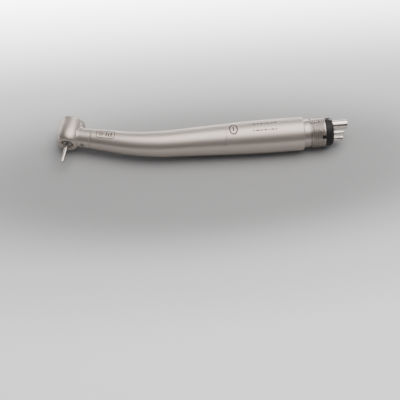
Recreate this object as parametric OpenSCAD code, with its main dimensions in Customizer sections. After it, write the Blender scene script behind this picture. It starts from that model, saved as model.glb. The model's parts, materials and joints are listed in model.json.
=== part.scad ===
// Dental air-turbine handpiece with a push-button chuck, a lamp in the neck that its own
// generator feeds, and a four-tube hose connector. It lies on its side.
// Units are millimetres. The origin is on the grip axis, where the hose nut comes to rest at the
// start of the thread. +X runs along the grip towards the hose, the bur points towards -Y, and
// the bend of the body lies in the XY plane, with +Z up.

/* [Head] */
// Outside diameter of the head
head_d = 12.05; // [11.4:0.05:14.6]
// Neck axis to the face that the bur comes out of
head_below = 5.4; // [5.2:0.1:6.6]
// Neck axis to the top of the head cap
head_above = 7.9; // [7.65:0.05:9.5]
// Height of the cap's visible rim
cap_rim_h = 1.85; // [1.6:0.05:2.4]
// Radius of the cap's rounded corner
crown_round = 1.35; // [1:0.05:1.5]
// Depth of the cap's eight spanner flats
flat_depth = 0.375; // [0.2:0.025:0.5]
// Height of the curve that closes the head towards the bur
lower_curve_h = 6.4; // [4:0.1:6.8]
// Radius of the face that the bur comes out of
lower_face_r = 3.55; // [3.4:0.05:4.2]
// Diameter of the turbine chamber
chamber_d = 9.7; // [9.1:0.1:10.1]

/* [Turbine] */
// Outside diameter of both ball bearings
bearing_od = 6.35; // [6.1:0.05:6.9]
// Bore of both ball bearings
bearing_id = 3.175; // [3.1:0.025:3.4]
// Width of both ball bearings
bearing_w = 2.4; // [2:0.05:2.6]
// Balls in each bearing
ball_count = 8; // [6:1:9]
// Diameter of a ball
ball_d = 0.98; // [0.8:0.02:1]
// Turbine wheel's blade height
blade_h = 2.9; // [2:0.1:3]
// Number of blades
blade_count = 9; // [7:1:11]
// Gap between the turbine wheel and its chamber
blade_gap = 0.35; // [0.2:0.05:0.5]
// Space between the two bearings
bearing_spread = 3.9; // [3.9:0.1:4.6]

/* [Bur and chuck] */
// Diameter of the bur's shank
bur_d = 1.6; // [1.5:0.05:1.7]
// Whole length of the bur
bur_len = 19; // [16:0.5:26]
// How far the button can be pressed
button_travel = 0.7; // [0.5:0.05:0.7]
// Diameter of the button's visible top
button_d = 7.1; // [6:0.1:7.4]

/* [Neck and bend] */
// Neck diameter at its seam with the front body
neck_d = 9.36; // [9:0.02:11.2]
// Head axis to the neck seam
neck_len = 10.6; // [9.4:0.1:13]
// Head axis to the start of the bend
neck_run = 22.8; // [19:0.1:27]
// Angle of the bend between neck and grip
bend_angle = 14.4; // [10:0.1:22]
// Radius of the bend
bend_r = 101; // [80:1:122]
// Diameter of the lamp window
lens_d = 2.4; // [2:0.1:2.6]

/* [Grip] */
// Body diameter at the seam with the rear sleeve
grip_d = 14.55; // [14.2:0.05:17.4]
// Straight length between the bend and that seam
grip_run = 24.8; // [20:0.1:34]
// Largest diameter of the rear sleeve
sleeve_d = 15.76; // [15:0.02:18.8]
// Length of the rear sleeve
sleeve_len = 36.4; // [36.4:0.1:44]
// Length over which the sleeve still widens
sleeve_swell = 26.5; // [15:0.1:30]
// Bore of the rear sleeve
sleeve_bore = 12.5; // [12.5:0.1:13]

/* [Hose connector] */
// Outside diameter of the thread
thread_d = 13.9; // [13.6:0.1:14.6]
// Length of the threaded collar
thread_len = 6.5; // [5.5:0.1:7.8]
// Thread pitch
thread_pitch = 0.8; // [0.5:0.05:1.1]
// Depth of the thread
thread_depth = 0.32; // [0.2:0.02:0.4]
// Diameter of the plain ring before the thread
ring_d = 13.3; // [12.9:0.1:13.6]
// Visible length of the plain ring
ring_len = 3.45; // [3:0.05:4.2]
// Diameter of the black insert
insert_d = 13.1; // [12.6:0.1:13.4]
// Visible length of the black insert
insert_len = 3.9; // [3.2:0.1:4.7]
// Outside diameter of the exhaust tube
exhaust_d = 4.5; // [3.8:0.1:4.8]
// How far the exhaust tube stands out
exhaust_out = 7.2; // [5:0.1:8.4]
// Outside diameter of the drive air tube
drive_d = 2.66; // [2.2:0.02:3.2]
// Outside diameter of the water and chip air tubes
small_d = 1.8; // [1.4:0.05:2.1]
// How far the three thinner tubes stand out
thin_out = 4.9; // [4:0.1:5.9]
// Turn of the whole tube pattern about the grip axis
tubes_turn = 38; // [0:1:90]

/* [Generator] */
// Outside diameter of the generator's case
gen_d = 9.9; // [8.4:0.1:9.9]
// Length of the generator's case
gen_len = 19.2; // [16:0.1:19.2]
// Diameter of the generator's magnet
magnet_d = 4.8; // [4:0.1:5.4]

/* [Fits] */
// Radial gap round pieces that are seated or screwed in
seat_gap = 0.02; // [0.01:0.01:0.05]
// Radial gap round pieces that turn or slide
run_gap = 0.03; // [0.02:0.01:0.05]

/* [Hidden] */
$fn = 96;
eps = 0.01;

steel = [0.74, 0.71, 0.68];
bright = [0.85, 0.84, 0.82];
dark = [0.1, 0.1, 0.11];

// Head, heights along the head axis from the neck axis, positive towards the button
head_r = head_d / 2;
cap_seam_z = head_above - cap_rim_h;
floor_t = 1.1;
flat_rise = 0.5;
o_ring_room = 0.685;
chamber_margin = 0.2;
cap_thread_t = 0.4;
washer_room = 0.35;
lower_seat_z = -head_below + floor_t;
lower_top_z = lower_seat_z + bearing_w;
upper_seat_z = lower_top_z + bearing_spread;
upper_top_z = upper_seat_z + bearing_w;
impeller_mid_z = (lower_top_z + upper_seat_z) / 2;
seat_r = bearing_od / 2 + o_ring_room;
chamber_r = chamber_d / 2;
chamber_low_z = lower_top_z - chamber_margin;
chamber_top_z = upper_seat_z + chamber_margin;
cap_thread_r = chamber_r + cap_thread_t;
cap_roof_z = upper_top_z + washer_room;
cap_roof_t = 0.6;
nose_hole_r = 2.45;
nose_recess_r = 3.2;
nose_recess_h = 0.75;
spray_r = 0.22;
spray_depth = 0.8;
spray_shift = 0.15;
nozzle_drop = 0.3;

// Turbine
pitch_r = (bearing_od + bearing_id) / 4;
ball_r = ball_d / 2;
ball_gap = 0.015;
groove_r = ball_r + ball_gap;
shoulder = 0.28;
o_ring_r = 0.32;
face_ring_r = 0.31;
face_ring_in = 0.3;
face_ring_gap = 0.04;
spindle_wall = 0.29;
spindle_foot_h = 0.5;
spindle_foot_w = 0.4;
spindle_rise = 0.55;
o_ring_mid_r = (bearing_od / 2 + seat_r) / 2;
spindle_r = bearing_id / 2 - seat_gap;
spindle_bore_r = spindle_r - spindle_wall;
spindle_foot_z = lower_seat_z - spindle_foot_h;
spindle_top_z = upper_top_z + spindle_rise;
spindle_lip_t = 0.22;
collet_r = spindle_bore_r - seat_gap;
bur_r = bur_d / 2;
collet_foot_z = spindle_foot_z + 0.1;
collet_top_z = 0.8;
pusher_ratio = 0.5;
pusher_gap = 0.12;
pusher_roof_t = 0.4;
bur_gap = 0.15;
pusher_travel = button_travel * pusher_ratio;
pusher_foot_z = collet_top_z + pusher_travel + pusher_gap;
pusher_shoulder_z = spindle_top_z - spindle_lip_t - run_gap;
pusher_bore_z = pusher_shoulder_z - pusher_roof_t;
bur_end_z = pusher_bore_z - pusher_travel - bur_gap;
bur_tip_z = bur_end_z - bur_len;
stem_r = 0.65;
stem_top_z = spindle_top_z + spindle_rise;

// Button
lip_t = 0.85;
lip_w = 0.55;
button_gap = 0.06;
button_sunk = 0.1;
lip_z = head_above - lip_t;
button_r = button_d / 2;
well_r = button_r + lip_w;
button_flange_t = 0.45;
button_flange_z = lip_z - seat_gap - button_flange_t;
button_pin_z = stem_top_z - pusher_travel + button_travel + button_gap;
button_edge_z = head_above - button_sunk;
button_dome_h = 0.35;
spring_wire_r = 0.12;

// Path of the body's centre line: t is the distance along it from the head axis
bend_len = bend_r * bend_angle * PI / 180;
seam_t = neck_run + bend_len + grip_run;
sleeve_end_x = -ring_len;
seam_x = sleeve_end_x - sleeve_len;
bend_x = seam_x - grip_run;
head_x = bend_x - bend_r * sin(bend_angle) - neck_run * cos(bend_angle);
head_y = bend_r * (1 - cos(bend_angle)) + neck_run * sin(bend_angle);
body_sides = 72;
bend_steps = 20;

// Neck and body
neck_r = neck_d / 2;
grip_r = grip_d / 2;
taper = (grip_r - neck_r) / (seam_t - neck_len);
spigot_step = 0.65;
spigot_r = neck_r - spigot_step;
spigot_len = 3;
chamber_wall = 0.75;
neck_bore_r = 2.9;
neck_wall_x = chamber_r + chamber_wall;
body_bore_r = 3.8;
grip_bore_r = 5.4;
coupler_r = sleeve_bore / 2 - seat_gap;
coupler_grip = 4.6;
coupler_seal_x = seam_x - 2;
coupler_bore_r = 5.3;
nozzle_r = 0.75;

// Lamp window: its axis leans towards the bur's tip
lens_r = lens_d / 2;
lens_lean = 25;
lens_x = 7.2;
lens_t = 0.8;
lens_sunk = 0.2;
lamp_t = 1.2;

// Lines inside the body, each at [sideways towards the button, up]
drive_line_at = [1.3, 0];
water_line_at = [-0.3, 1.9];
chip_line_at = [-0.3, -1.9];
wire_pos_at = [-2.3, 0.32];
wire_neg_at = [-2.3, -0.32];
drive_line_r = 1;
thin_line_r = 0.45;
wire_r = 0.2;
line_wall = 0.18;
line_start_x = neck_wall_x + 1.6;
wire_start_x = 9.3;

// Generator, stations along the grip axis
gen_r = gen_d / 2;
plate_t = 2.2;
gen_back_x = -12;
gen_front_x = gen_back_x - gen_len;
plate_gap = 1;
plate_x = gen_front_x - plate_gap - plate_t;
gen_wall = 0.4;
gen_cap_t = 1.4;
shaft_r = 0.7;
gen_bearing_r = 1.7;
gen_bearing_w = 1.3;
coil_gap = 0.35;
coil_r = magnet_d / 2 + coil_gap;
magnet_len = 8.6;
gen_front_t = 2;
magnet_run = 1.2;
magnet_x = gen_front_x + gen_front_t + magnet_run;
wheel_t = 2.2;
wheel_run = 0.5;
wheel_x = gen_back_x - gen_cap_t - wheel_run - wheel_t;
wire_gap = 0.05;
vent_at = 3.1;
vent_r = 0.6;
rear_line_at = 5.55;
rear_line_turn = 60;

// Hose connector
thread_r = thread_d / 2;
land_len = 0.5;
relief_len = 0.45;
thread_start = land_len + relief_len;
thread_end = 0.5;
thread_edge = 0.05;
thread_turns = floor((thread_len - thread_end - thread_start) / thread_pitch);
ring_bore_r = 5.62;
ring_spigot_r = sleeve_bore / 2 - seat_gap;
ring_spigot_len = 6.4;
insert_spigot = 1.1;
insert_bevel = 1.1;
insert_x = thread_len + insert_len;
manifold_r = ring_bore_r - seat_gap;
manifold_front_x = sleeve_end_x - ring_spigot_len;
manifold_flange_t = 1.5;
manifold_seal_x = manifold_front_x + 1.6;
manifold_end_x = thread_len - insert_spigot;
tube_root_x = -5.5;
shank_step = 0.2;
tube_wall = 0.23;
exhaust_off = 2.9;
drive_off = 3.3;
small_off = 3.4;
small_turn = 103;
key_turn = 110;
key_w = 1.68;
key_len = 1.75;

// ---------- frames ----------

// Head frame: +Z along the head axis towards the button, +X along the neck towards the grip
module at_head() {
    translate([head_x, head_y, 0]) rotate([0, 0, -bend_angle]) rotate([-90, 0, 0]) children();
}

// Turns a shape that stands on +Z so that it lies along +X, with its foot at x
module along_x(x) {
    translate([x, 0, 0]) rotate([0, 90, 0]) children();
}

// Places a shape in the tube pattern: off from the axis, at an angle from the exhaust tube
module in_pattern(off, turn) {
    rotate([tubes_turn + turn, 0, 0]) translate([0, off, 0]) children();
}

// Frame of the lamp window: origin on the neck's skin, +Z out of the neck
module at_lens() {
    translate([lens_x, 0, -neck_skin(lens_x)]) rotate([0, 180 + lens_lean, 0]) children();
}

function neck_skin(t) = neck_r + taper * (t - neck_len);

// Centre of the body at distance t, its heading and its ring of points
function turn_at(t) =
    t <= neck_run ? bend_angle
    : t >= neck_run + bend_len ? 0
    : bend_angle - (t - neck_run) / bend_r * 180 / PI;
function centre_at(t) =
    t <= neck_run ? [head_x + t * cos(bend_angle), head_y - t * sin(bend_angle)]
    : t >= neck_run + bend_len ? [bend_x + t - neck_run - bend_len, 0]
    : [bend_x - bend_r * sin(turn_at(t)), bend_r * (1 - cos(turn_at(t)))];
function ring_at(t, r, at = [0, 0], sides = body_sides) = [for (k = [0:sides - 1])
    let (a = 360 * k / sides, c = centre_at(t), h = turn_at(t), side = at[0] + r * cos(a))
    [c[0] + side * sin(h), c[1] + side * cos(h), at[1] + r * sin(a)]];
function bend_stations(steps) = [for (i = [0:steps]) neck_run + bend_len * i / steps];

// Arc of points about a centre, from one angle to another
function arc(c, r, from, to, n = 12) =
    [for (i = [0:n]) let (a = from + (to - from) * i / n) [c[0] + r[0] * cos(a), c[1] + r[1] * sin(a)]];

// ---------- small shared shapes ----------

module tube(r_out, r_in, h) {
    difference() {
        cylinder(r = r_out, h = h);
        translate([0, 0, -1]) cylinder(r = r_in, h = h + 2);
    }
}

module ring(mid_r, wire) {
    rotate_extrude() translate([mid_r, 0]) circle(r = wire, $fn = 32);
}

// Seal in a groove round a turned piece of radius r, and the groove that it lies in
module face_ring(r) {
    rotate([0, 90, 0]) ring(r - face_ring_in, face_ring_r);
}

module face_groove(r) {
    rotate([0, 90, 0]) ring(r - face_ring_in, face_ring_r + face_ring_gap);
}

// A line that follows the body at a constant offset, from x_a in the neck to x_b in the grip
module body_line(at, r_out, r_in, x_a, x_b) {
    sides = 12;
    stations = concat([x_a], bend_stations(12), [neck_run + bend_len + x_b - bend_x]);
    outer = [for (t = stations) each ring_at(t, r_out, at, sides)];
    inner = [for (t = stations) each ring_at(t, r_in, at, sides)];
    polyhedron(concat(outer, inner), hollow_faces(len(stations) - 1, sides), convexity = 4);
}

// Faces of the walls of a tube of points in rings: `steps` spans of `sides` points each
function wall_faces(steps, sides) =
    [for (i = [0:steps - 1], k = [0:sides - 1]) let (a = i * sides + k, b = i * sides + (k + 1) % sides)
        each [[a, a + sides, b], [a + sides, b + sides, b]]];
function solid_faces(steps, sides) = concat([[for (k = [0:sides - 1]) k]], wall_faces(steps, sides),
    [[for (k = [sides - 1:-1:0]) steps * sides + k]]);
// The same for a hollow tube, whose inner rings follow its outer rings
function hollow_faces(steps, sides) = let (n = (steps + 1) * sides, last = steps * sides) concat(
    wall_faces(steps, sides),
    [for (f = wall_faces(steps, sides)) [f[2] + n, f[1] + n, f[0] + n]],
    [for (k = [0:sides - 1]) let (j = (k + 1) % sides) each [[k, j, k + n], [j, j + n, k + n]]],
    [for (k = [0:sides - 1]) let (j = (k + 1) % sides)
        each [[last + j, last + k, last + k + n], [last + j, last + k + n, last + j + n]]]);

// ---------- head ----------

module head_outline() {
    lower_z = -head_below + lower_curve_h;
    polygon(concat([[0, -head_below]],
        arc([lower_face_r, lower_z], [head_r - lower_face_r, lower_curve_h], -90, 0, 16),
        [[head_r, cap_seam_z], [0, cap_seam_z]]));
}

module head_housing() {
    color(steel) at_head() difference() {
        union() {
            rotate_extrude() head_outline();
            rotate([0, 90, 0]) cylinder(r1 = neck_skin(0), r2 = neck_r, h = neck_len);
            rotate([0, 90, 0]) cylinder(r = spigot_r, h = neck_len + spigot_len);
        }
        translate([0, 0, lower_seat_z]) cylinder(r = seat_r, h = 20);
        translate([0, 0, chamber_low_z]) cylinder(r = chamber_r, h = 20);
        translate([0, 0, chamber_top_z]) cylinder(r = cap_thread_r, h = 20);
        translate([0, 0, -head_below - 1]) cylinder(r = nose_hole_r, h = 4);
        translate([0, 0, -head_below - eps])
            cylinder(r1 = nose_recess_r, r2 = nose_hole_r, h = nose_recess_h);
        for (k = [0:3]) rotate([0, 0, 45 + 90 * k])
            translate([(nose_hole_r + nose_recess_r) / 2 + spray_shift, 0, -head_below - 1])
                cylinder(r = spray_r, h = 1 + spray_depth, $fn = 24);
        translate([neck_wall_x, 0, 0]) rotate([0, 90, 0]) cylinder(r = neck_bore_r, h = 30);
        translate([0, 0, drive_line_at[0] - nozzle_drop]) rotate([0, 90, 0]) cylinder(r = nozzle_r, h = 8);
        at_lens() translate([0, 0, -lens_sunk - lens_t - lamp_t - 0.1])
            cylinder(r = lens_r + seat_gap, h = 6, $fn = 48);
    }
}

module head_cap() {
    corner = [head_r - crown_round, head_above - crown_round];
    color(steel) at_head() difference() {
        union() {
            rotate_extrude() polygon(concat([[0, cap_seam_z], [head_r, cap_seam_z]],
                arc(corner, [crown_round, crown_round], 0, 90), [[0, head_above]]));
            translate([0, 0, chamber_top_z + 0.1])
                cylinder(r = cap_thread_r - seat_gap, h = cap_seam_z - chamber_top_z);
        }
        translate([0, 0, chamber_top_z - 1]) cylinder(r = seat_r, h = cap_roof_z - chamber_top_z + 1);
        cylinder(r = spindle_r + 0.5, h = 20);
        translate([0, 0, cap_roof_z + cap_roof_t])
            cylinder(r = well_r, h = lip_z - cap_roof_z - cap_roof_t);
        translate([0, 0, lip_z - 1]) cylinder(r = button_r + run_gap, h = 5);
        for (k = [0:7]) rotate([0, 0, 22.5 + 45 * k])
            translate([head_r - flat_depth, -5, cap_seam_z + flat_rise]) cube([5, 10, 5]);
    }
}

module push_button() {
    color(bright) at_head() {
        rotate_extrude() polygon([[0, button_pin_z], [1, button_pin_z], [1, button_flange_z],
            [well_r - 0.1, button_flange_z], [well_r - 0.1, button_flange_z + button_flange_t],
            [button_r, button_flange_z + button_flange_t], [button_r, button_edge_z - 0.2],
            [button_r - 0.2, button_edge_z],
            for (i = [4:-1:0]) [(button_r - 0.2) * i / 5, button_edge_z + button_dome_h * (1 - i * i / 25)]]);
    }
}

// Conical spring under the button: a round wire carried along a helix that narrows upwards
module button_spring() {
    low = cap_roof_z + cap_roof_t + spring_wire_r;
    high = button_flange_z - spring_wire_r;
    turns = 2.5;
    steps = 60;
    sides = 8;
    pts = [for (i = [0:steps], k = [0:sides - 1])
        let (a = 360 * turns * i / steps, b = 360 * k / sides, r = well_r - 0.4 - 1.3 * i / steps)
        [(r + spring_wire_r * cos(b)) * cos(a), (r + spring_wire_r * cos(b)) * sin(a),
            low + (high - low) * i / steps + spring_wire_r * sin(b)]];
    color(bright) at_head() polyhedron(pts, solid_faces(steps, sides), convexity = 6);
}

// ---------- turbine ----------

module spindle() {
    color(bright) at_head() rotate_extrude() polygon([
        [spindle_bore_r, spindle_foot_z], [spindle_r + spindle_foot_w, spindle_foot_z],
        [spindle_r + spindle_foot_w, lower_seat_z], [spindle_r, lower_seat_z], [spindle_r, spindle_top_z],
        [stem_r + 0.1, spindle_top_z], [stem_r + 0.1, spindle_top_z - spindle_lip_t],
        [spindle_bore_r, spindle_top_z - spindle_lip_t]]);
}

module chuck_collet() {
    jaw_len = 3.5;
    slot_w = 0.25;
    color(bright) at_head() difference() {
        translate([0, 0, collet_foot_z]) tube(collet_r, bur_r + run_gap / 2, collet_top_z - collet_foot_z);
        for (k = [0:2]) rotate([0, 0, 120 * k])
            translate([0, -slot_w / 2, collet_top_z - jaw_len]) cube([3, slot_w, jaw_len + 1]);
    }
}

module chuck_pusher() {
    color(bright) at_head() difference() {
        union() {
            translate([0, 0, pusher_foot_z])
                cylinder(r = spindle_bore_r - run_gap, h = pusher_shoulder_z - pusher_foot_z);
            translate([0, 0, pusher_foot_z]) cylinder(r = stem_r, h = stem_top_z - pusher_foot_z);
        }
        translate([0, 0, pusher_foot_z - 1])
            cylinder(r = bur_r + 0.1, h = pusher_bore_z - pusher_foot_z + 1);
    }
}

module impeller() {
    wheel_r = chamber_r - blade_gap;
    bucket_r = 1.15;
    bucket_in = 0.15;
    hub_r = 2.25;
    color(bright) at_head() difference() {
        union() {
            translate([0, 0, lower_top_z]) cylinder(r = hub_r, h = bearing_spread);
            translate([0, 0, impeller_mid_z - blade_h / 2]) linear_extrude(blade_h) difference() {
                circle(r = wheel_r);
                for (k = [0:blade_count - 1])
                    rotate(360 * k / blade_count) translate([wheel_r - bucket_in, 0])
                        circle(r = bucket_r, $fn = 32);
            }
        }
        translate([0, 0, lower_top_z - 1]) cylinder(r = spindle_r + seat_gap / 2, h = bearing_spread + 2);
    }
}

module test_bur() {
    tip = 0.15;
    color(bright) at_head() rotate_extrude($fn = 48) polygon([[0, bur_tip_z], [bur_r - tip, bur_tip_z],
        [bur_r, bur_tip_z + tip], [bur_r, bur_end_z - tip], [bur_r - tip, bur_end_z], [0, bur_end_z]]);
}

// One bearing's pieces stand on z, its lower face
module race(z, r_in, r_out) {
    color(bright) at_head() translate([0, 0, z]) rotate_extrude() difference() {
        translate([r_in, 0]) square([r_out - r_in, bearing_w]);
        translate([pitch_r, bearing_w / 2]) circle(r = groove_r, $fn = 48);
    }
}

module outer_race(z) {
    race(z, pitch_r + shoulder, bearing_od / 2);
}

module inner_race(z) {
    race(z, bearing_id / 2 - seat_gap / 2, pitch_r - shoulder);
}

module balls(z) {
    color("white") at_head() for (k = [0:ball_count - 1]) rotate([0, 0, 360 * k / ball_count])
        translate([pitch_r, 0, z + bearing_w / 2]) sphere(r = ball_r, $fn = 32);
}

module cage(z) {
    cage_h = ball_d + 0.5;
    cage_t = shoulder - 0.05;
    color([0.55, 0.38, 0.2]) at_head() translate([0, 0, z + bearing_w / 2]) difference() {
        translate([0, 0, -cage_h / 2]) tube(pitch_r + cage_t, pitch_r - cage_t, cage_h);
        for (k = [0:ball_count - 1]) rotate([0, 0, 360 * k / ball_count])
            rotate([0, 90, 0]) cylinder(r = ball_r + 0.02, h = pitch_r * 2, $fn = 32);
    }
}

module bearing_o_ring(z) {
    color(dark) at_head() translate([0, 0, z + bearing_w / 2]) ring(o_ring_mid_r, o_ring_r);
}

module wave_washer() {
    color(bright) at_head() translate([0, 0, upper_top_z + 0.02])
        tube(bearing_od / 2 - 0.05, pitch_r + shoulder + 0.05, cap_roof_z - upper_top_z - 0.04);
}

// ---------- neck and lamp ----------

module light_window() {
    color([0.85, 0.9, 0.95]) at_head() at_lens() translate([0, 0, -lens_sunk - lens_t])
        rotate_extrude($fn = 48) polygon([[0, 0], [lens_r, 0], [lens_r, lens_t - 0.2],
            for (i = [4:-1:0]) [lens_r * i / 5, lens_t - 0.2 * i * i / 25]]);
}

module lamp_module() {
    color([0.9, 0.85, 0.5]) at_head() at_lens() translate([0, 0, -lens_sunk - lens_t - lamp_t])
        cylinder(r = lens_r - 0.05, h = lamp_t, $fn = 48);
}

module neck_block() {
    flat_z = -0.9;
    color(bright) at_head() difference() {
        translate([neck_wall_x, 0, 0]) rotate([0, 90, 0]) cylinder(r = neck_bore_r - seat_gap, h = 3);
        translate([0, -5, flat_z - 10]) cube([20, 10, 10]);
        translate([line_start_x, 0, drive_line_at[0]]) rotate([0, 90, 0])
            cylinder(r = drive_line_r + seat_gap, h = 5, $fn = 48);
        translate([0, 0, drive_line_at[0] - nozzle_drop]) rotate([0, 90, 0]) cylinder(r = nozzle_r, h = 8);
        for (at = [water_line_at, chip_line_at]) translate([0, -at[1], at[0]]) rotate([0, 90, 0])
            cylinder(r = thin_line_r - line_wall, h = 12, $fn = 32);
        for (at = [water_line_at, chip_line_at]) translate([line_start_x, -at[1], at[0]])
            rotate([0, 90, 0]) cylinder(r = thin_line_r + seat_gap, h = 5, $fn = 32);
    }
}

// ---------- body ----------

// Bent shell: a circle that widens evenly, carried along the centre line, then bored
module front_body() {
    stations = concat([neck_len], bend_stations(bend_steps), [seam_t]);
    pts = [for (t = stations) each ring_at(t, neck_skin(t))];
    color(steel) difference() {
        polyhedron(pts, solid_faces(len(stations) - 1, body_sides), convexity = 4);
        at_head() translate([neck_len - 1, 0, 0]) rotate([0, 90, 0])
            cylinder(r = spigot_r + seat_gap, h = spigot_len + 1.2);
        at_head() translate([neck_len, 0, 0]) rotate([0, 90, 0])
            cylinder(r = body_bore_r - 0.1, h = neck_run - neck_len + 0.2);
        translate([bend_x, bend_r, 0]) rotate([0, 0, -90 - bend_angle])
            rotate_extrude(angle = bend_angle) translate([bend_r, 0]) circle(r = body_bore_r);
        along_x(bend_x - 0.2) cylinder(r = grip_bore_r, h = grip_run + 2);
        along_x(seam_x - coupler_grip - 0.1) cylinder(r = coupler_r + seat_gap, h = 20);
    }
}

module drive_air_line() {
    color(bright) body_line(drive_line_at, drive_line_r, drive_line_r - line_wall, line_start_x, plate_x);
}

module water_line() {
    color(bright) body_line(water_line_at, thin_line_r, thin_line_r - line_wall, line_start_x, plate_x);
}

module chip_air_line() {
    color(bright) body_line(chip_line_at, thin_line_r, thin_line_r - line_wall, line_start_x, plate_x);
}

// A wire has no bore, and ends in the front wall of the generator
module lamp_wire(at) {
    sides = 8;
    x_b = gen_front_x + 0.8;
    stations = concat([wire_start_x], bend_stations(12), [neck_run + bend_len + x_b - bend_x]);
    polyhedron([for (t = stations) each ring_at(t, wire_r, at, sides)],
        solid_faces(len(stations) - 1, sides), convexity = 4);
}

module lamp_wire_pos() {
    color("firebrick") lamp_wire(wire_pos_at);
}

module lamp_wire_neg() {
    color(dark) lamp_wire(wire_neg_at);
}

module coupler_ring() {
    color(bright) difference() {
        along_x(seam_x - coupler_grip) tube(coupler_r, coupler_bore_r, plate_x - 0.3 - seam_x + coupler_grip);
        translate([coupler_seal_x, 0, 0]) face_groove(coupler_r);
    }
}

module coupler_o_ring() {
    color(dark) translate([coupler_seal_x, 0, 0]) face_ring(coupler_r);
}

// The sleeve widens along a parabola and then runs straight to a rounded rear edge
module rear_sleeve() {
    r_big = sleeve_d / 2;
    edge = 0.5;
    swell = [for (i = [0:12]) let (u = i / 12)
        [grip_r + (r_big - grip_r) * (1 - (1 - u) * (1 - u)), sleeve_swell * u]];
    color(steel) along_x(seam_x) difference() {
        rotate_extrude() polygon(concat([[0, 0]], swell,
            arc([r_big - edge, sleeve_len - edge], [edge, edge], 0, 90, 8), [[0, sleeve_len]]));
        translate([0, 0, -1]) cylinder(r = sleeve_bore / 2, h = sleeve_len + 2);
    }
}

// ---------- generator ----------

module line_plate() {
    color(bright) difference() {
        along_x(plate_x) cylinder(r = sleeve_bore / 2 - seat_gap, h = plate_t + 1);
        translate([0, drive_line_at[0], 0]) along_x(plate_x - 1)
            cylinder(r = drive_line_r - line_wall, h = 9);
        for (at = [water_line_at, chip_line_at]) translate([0, at[0], at[1]])
            along_x(plate_x - 1) cylinder(r = thin_line_r - line_wall, h = 1 + plate_t / 2, $fn = 32);
        for (at = [wire_pos_at, wire_neg_at]) translate([0, at[0], at[1]])
            along_x(plate_x - 1) cylinder(r = wire_r + wire_gap, h = 9, $fn = 24);
        along_x(plate_x + plate_t + 0.4) cylinder(r = vent_at + vent_r + 0.2, h = 5);
        for (s = [-1, 1]) rotate([s * rear_line_turn, 0, 0]) translate([0, 0, s * rear_line_at])
            along_x(plate_x + plate_t) cylinder(r = thin_line_r + seat_gap, h = 5, $fn = 32);
    }
}

module generator_case() {
    color([0.5, 0.5, 0.52]) difference() {
        along_x(gen_front_x) cylinder(r = gen_r, h = gen_len - gen_cap_t);
        along_x(gen_front_x + gen_front_t) cylinder(r = gen_r - gen_wall, h = gen_len);
        along_x(gen_front_x + gen_front_t - gen_bearing_w) cylinder(r = gen_bearing_r + seat_gap, h = 5);
        along_x(gen_front_x - 1) cylinder(r = shaft_r + 0.2, h = 5);
        for (k = [-2:2]) rotate([60 * k, 0, 0]) translate([0, vent_at, 0])
            along_x(gen_front_x - 1) cylinder(r = vent_r, h = 5, $fn = 32);
        for (at = [wire_pos_at, wire_neg_at]) translate([0, at[0], at[1]])
            along_x(gen_front_x - 1) cylinder(r = wire_r + wire_gap, h = 9, $fn = 24);
    }
}

module generator_cap() {
    vents = 6;
    color([0.5, 0.5, 0.52]) difference() {
        along_x(gen_back_x - gen_cap_t) cylinder(r = gen_r, h = gen_cap_t);
        along_x(gen_back_x - gen_cap_t - 1) cylinder(r = gen_bearing_r + seat_gap, h = 5);
        for (k = [0:vents - 1]) rotate([360 * k / vents, 0, 0]) translate([0, vent_at, 0])
            along_x(gen_back_x - 5) cylinder(r = vent_r, h = 9, $fn = 32);
    }
}

module stator_coil() {
    color([0.7, 0.38, 0.16]) along_x(magnet_x - 0.4)
        tube(gen_r - gen_wall - seat_gap, coil_r, magnet_len + 0.8);
}

module generator_magnet() {
    color([0.3, 0.3, 0.32]) along_x(magnet_x) tube(magnet_d / 2, shaft_r + seat_gap / 2, magnet_len);
}

module generator_shaft() {
    color(bright) along_x(gen_front_x + 0.6) cylinder(r = shaft_r, h = gen_len - 0.8, $fn = 48);
}

module generator_wheel() {
    wheel_r = gen_r - gen_wall - blade_gap;
    cups = 10;
    cup_r = 0.95;
    cup_in = 0.1;
    color(bright) along_x(wheel_x) difference() {
        linear_extrude(wheel_t) difference() {
            circle(r = wheel_r);
            for (k = [0:cups - 1])
                rotate(360 * k / cups) translate([wheel_r - cup_in, 0]) circle(r = cup_r, $fn = 32);
        }
        translate([0, 0, -1]) cylinder(r = shaft_r + seat_gap / 2, h = wheel_t + 2);
    }
}

module generator_bearing(x) {
    color(bright) along_x(x) tube(gen_bearing_r, shaft_r + run_gap, gen_bearing_w);
}

module generator_front_bearing() {
    generator_bearing(gen_front_x + gen_front_t - gen_bearing_w);
}

module generator_rear_bearing() {
    generator_bearing(gen_back_x - gen_bearing_w - 0.05);
}

// Water and chip air pass beside the generator, one on each side
module rear_line(s) {
    x_a = plate_x + plate_t;
    x_b = manifold_front_x - 0.4;
    color(bright) rotate([s * rear_line_turn, 0, 0]) translate([0, 0, s * rear_line_at])
        along_x(x_a) tube(thin_line_r, thin_line_r - line_wall, x_b - x_a);
}

// ---------- hose connector ----------

module manifold_block() {
    color(bright) difference() {
        union() {
            along_x(manifold_front_x - manifold_flange_t)
                cylinder(r = ring_spigot_r, h = manifold_flange_t);
            along_x(manifold_front_x - 0.5)
                cylinder(r = manifold_r, h = manifold_end_x - manifold_front_x + 0.5);
        }
        translate([manifold_seal_x, 0, 0]) face_groove(manifold_r);
        in_pattern(exhaust_off, 0) tube_seat(exhaust_d / 2);
        in_pattern(drive_off, 180) tube_seat(drive_d / 2);
        for (s = [-1, 1]) in_pattern(small_off, s * small_turn) tube_seat(small_d / 2);
        for (s = [-1, 1]) rotate([s * rear_line_turn, 0, 0]) translate([0, 0, s * rear_line_at])
            along_x(manifold_front_x - 5) cylinder(r = thin_line_r + seat_gap, h = 4.7, $fn = 32);
    }
}

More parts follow.
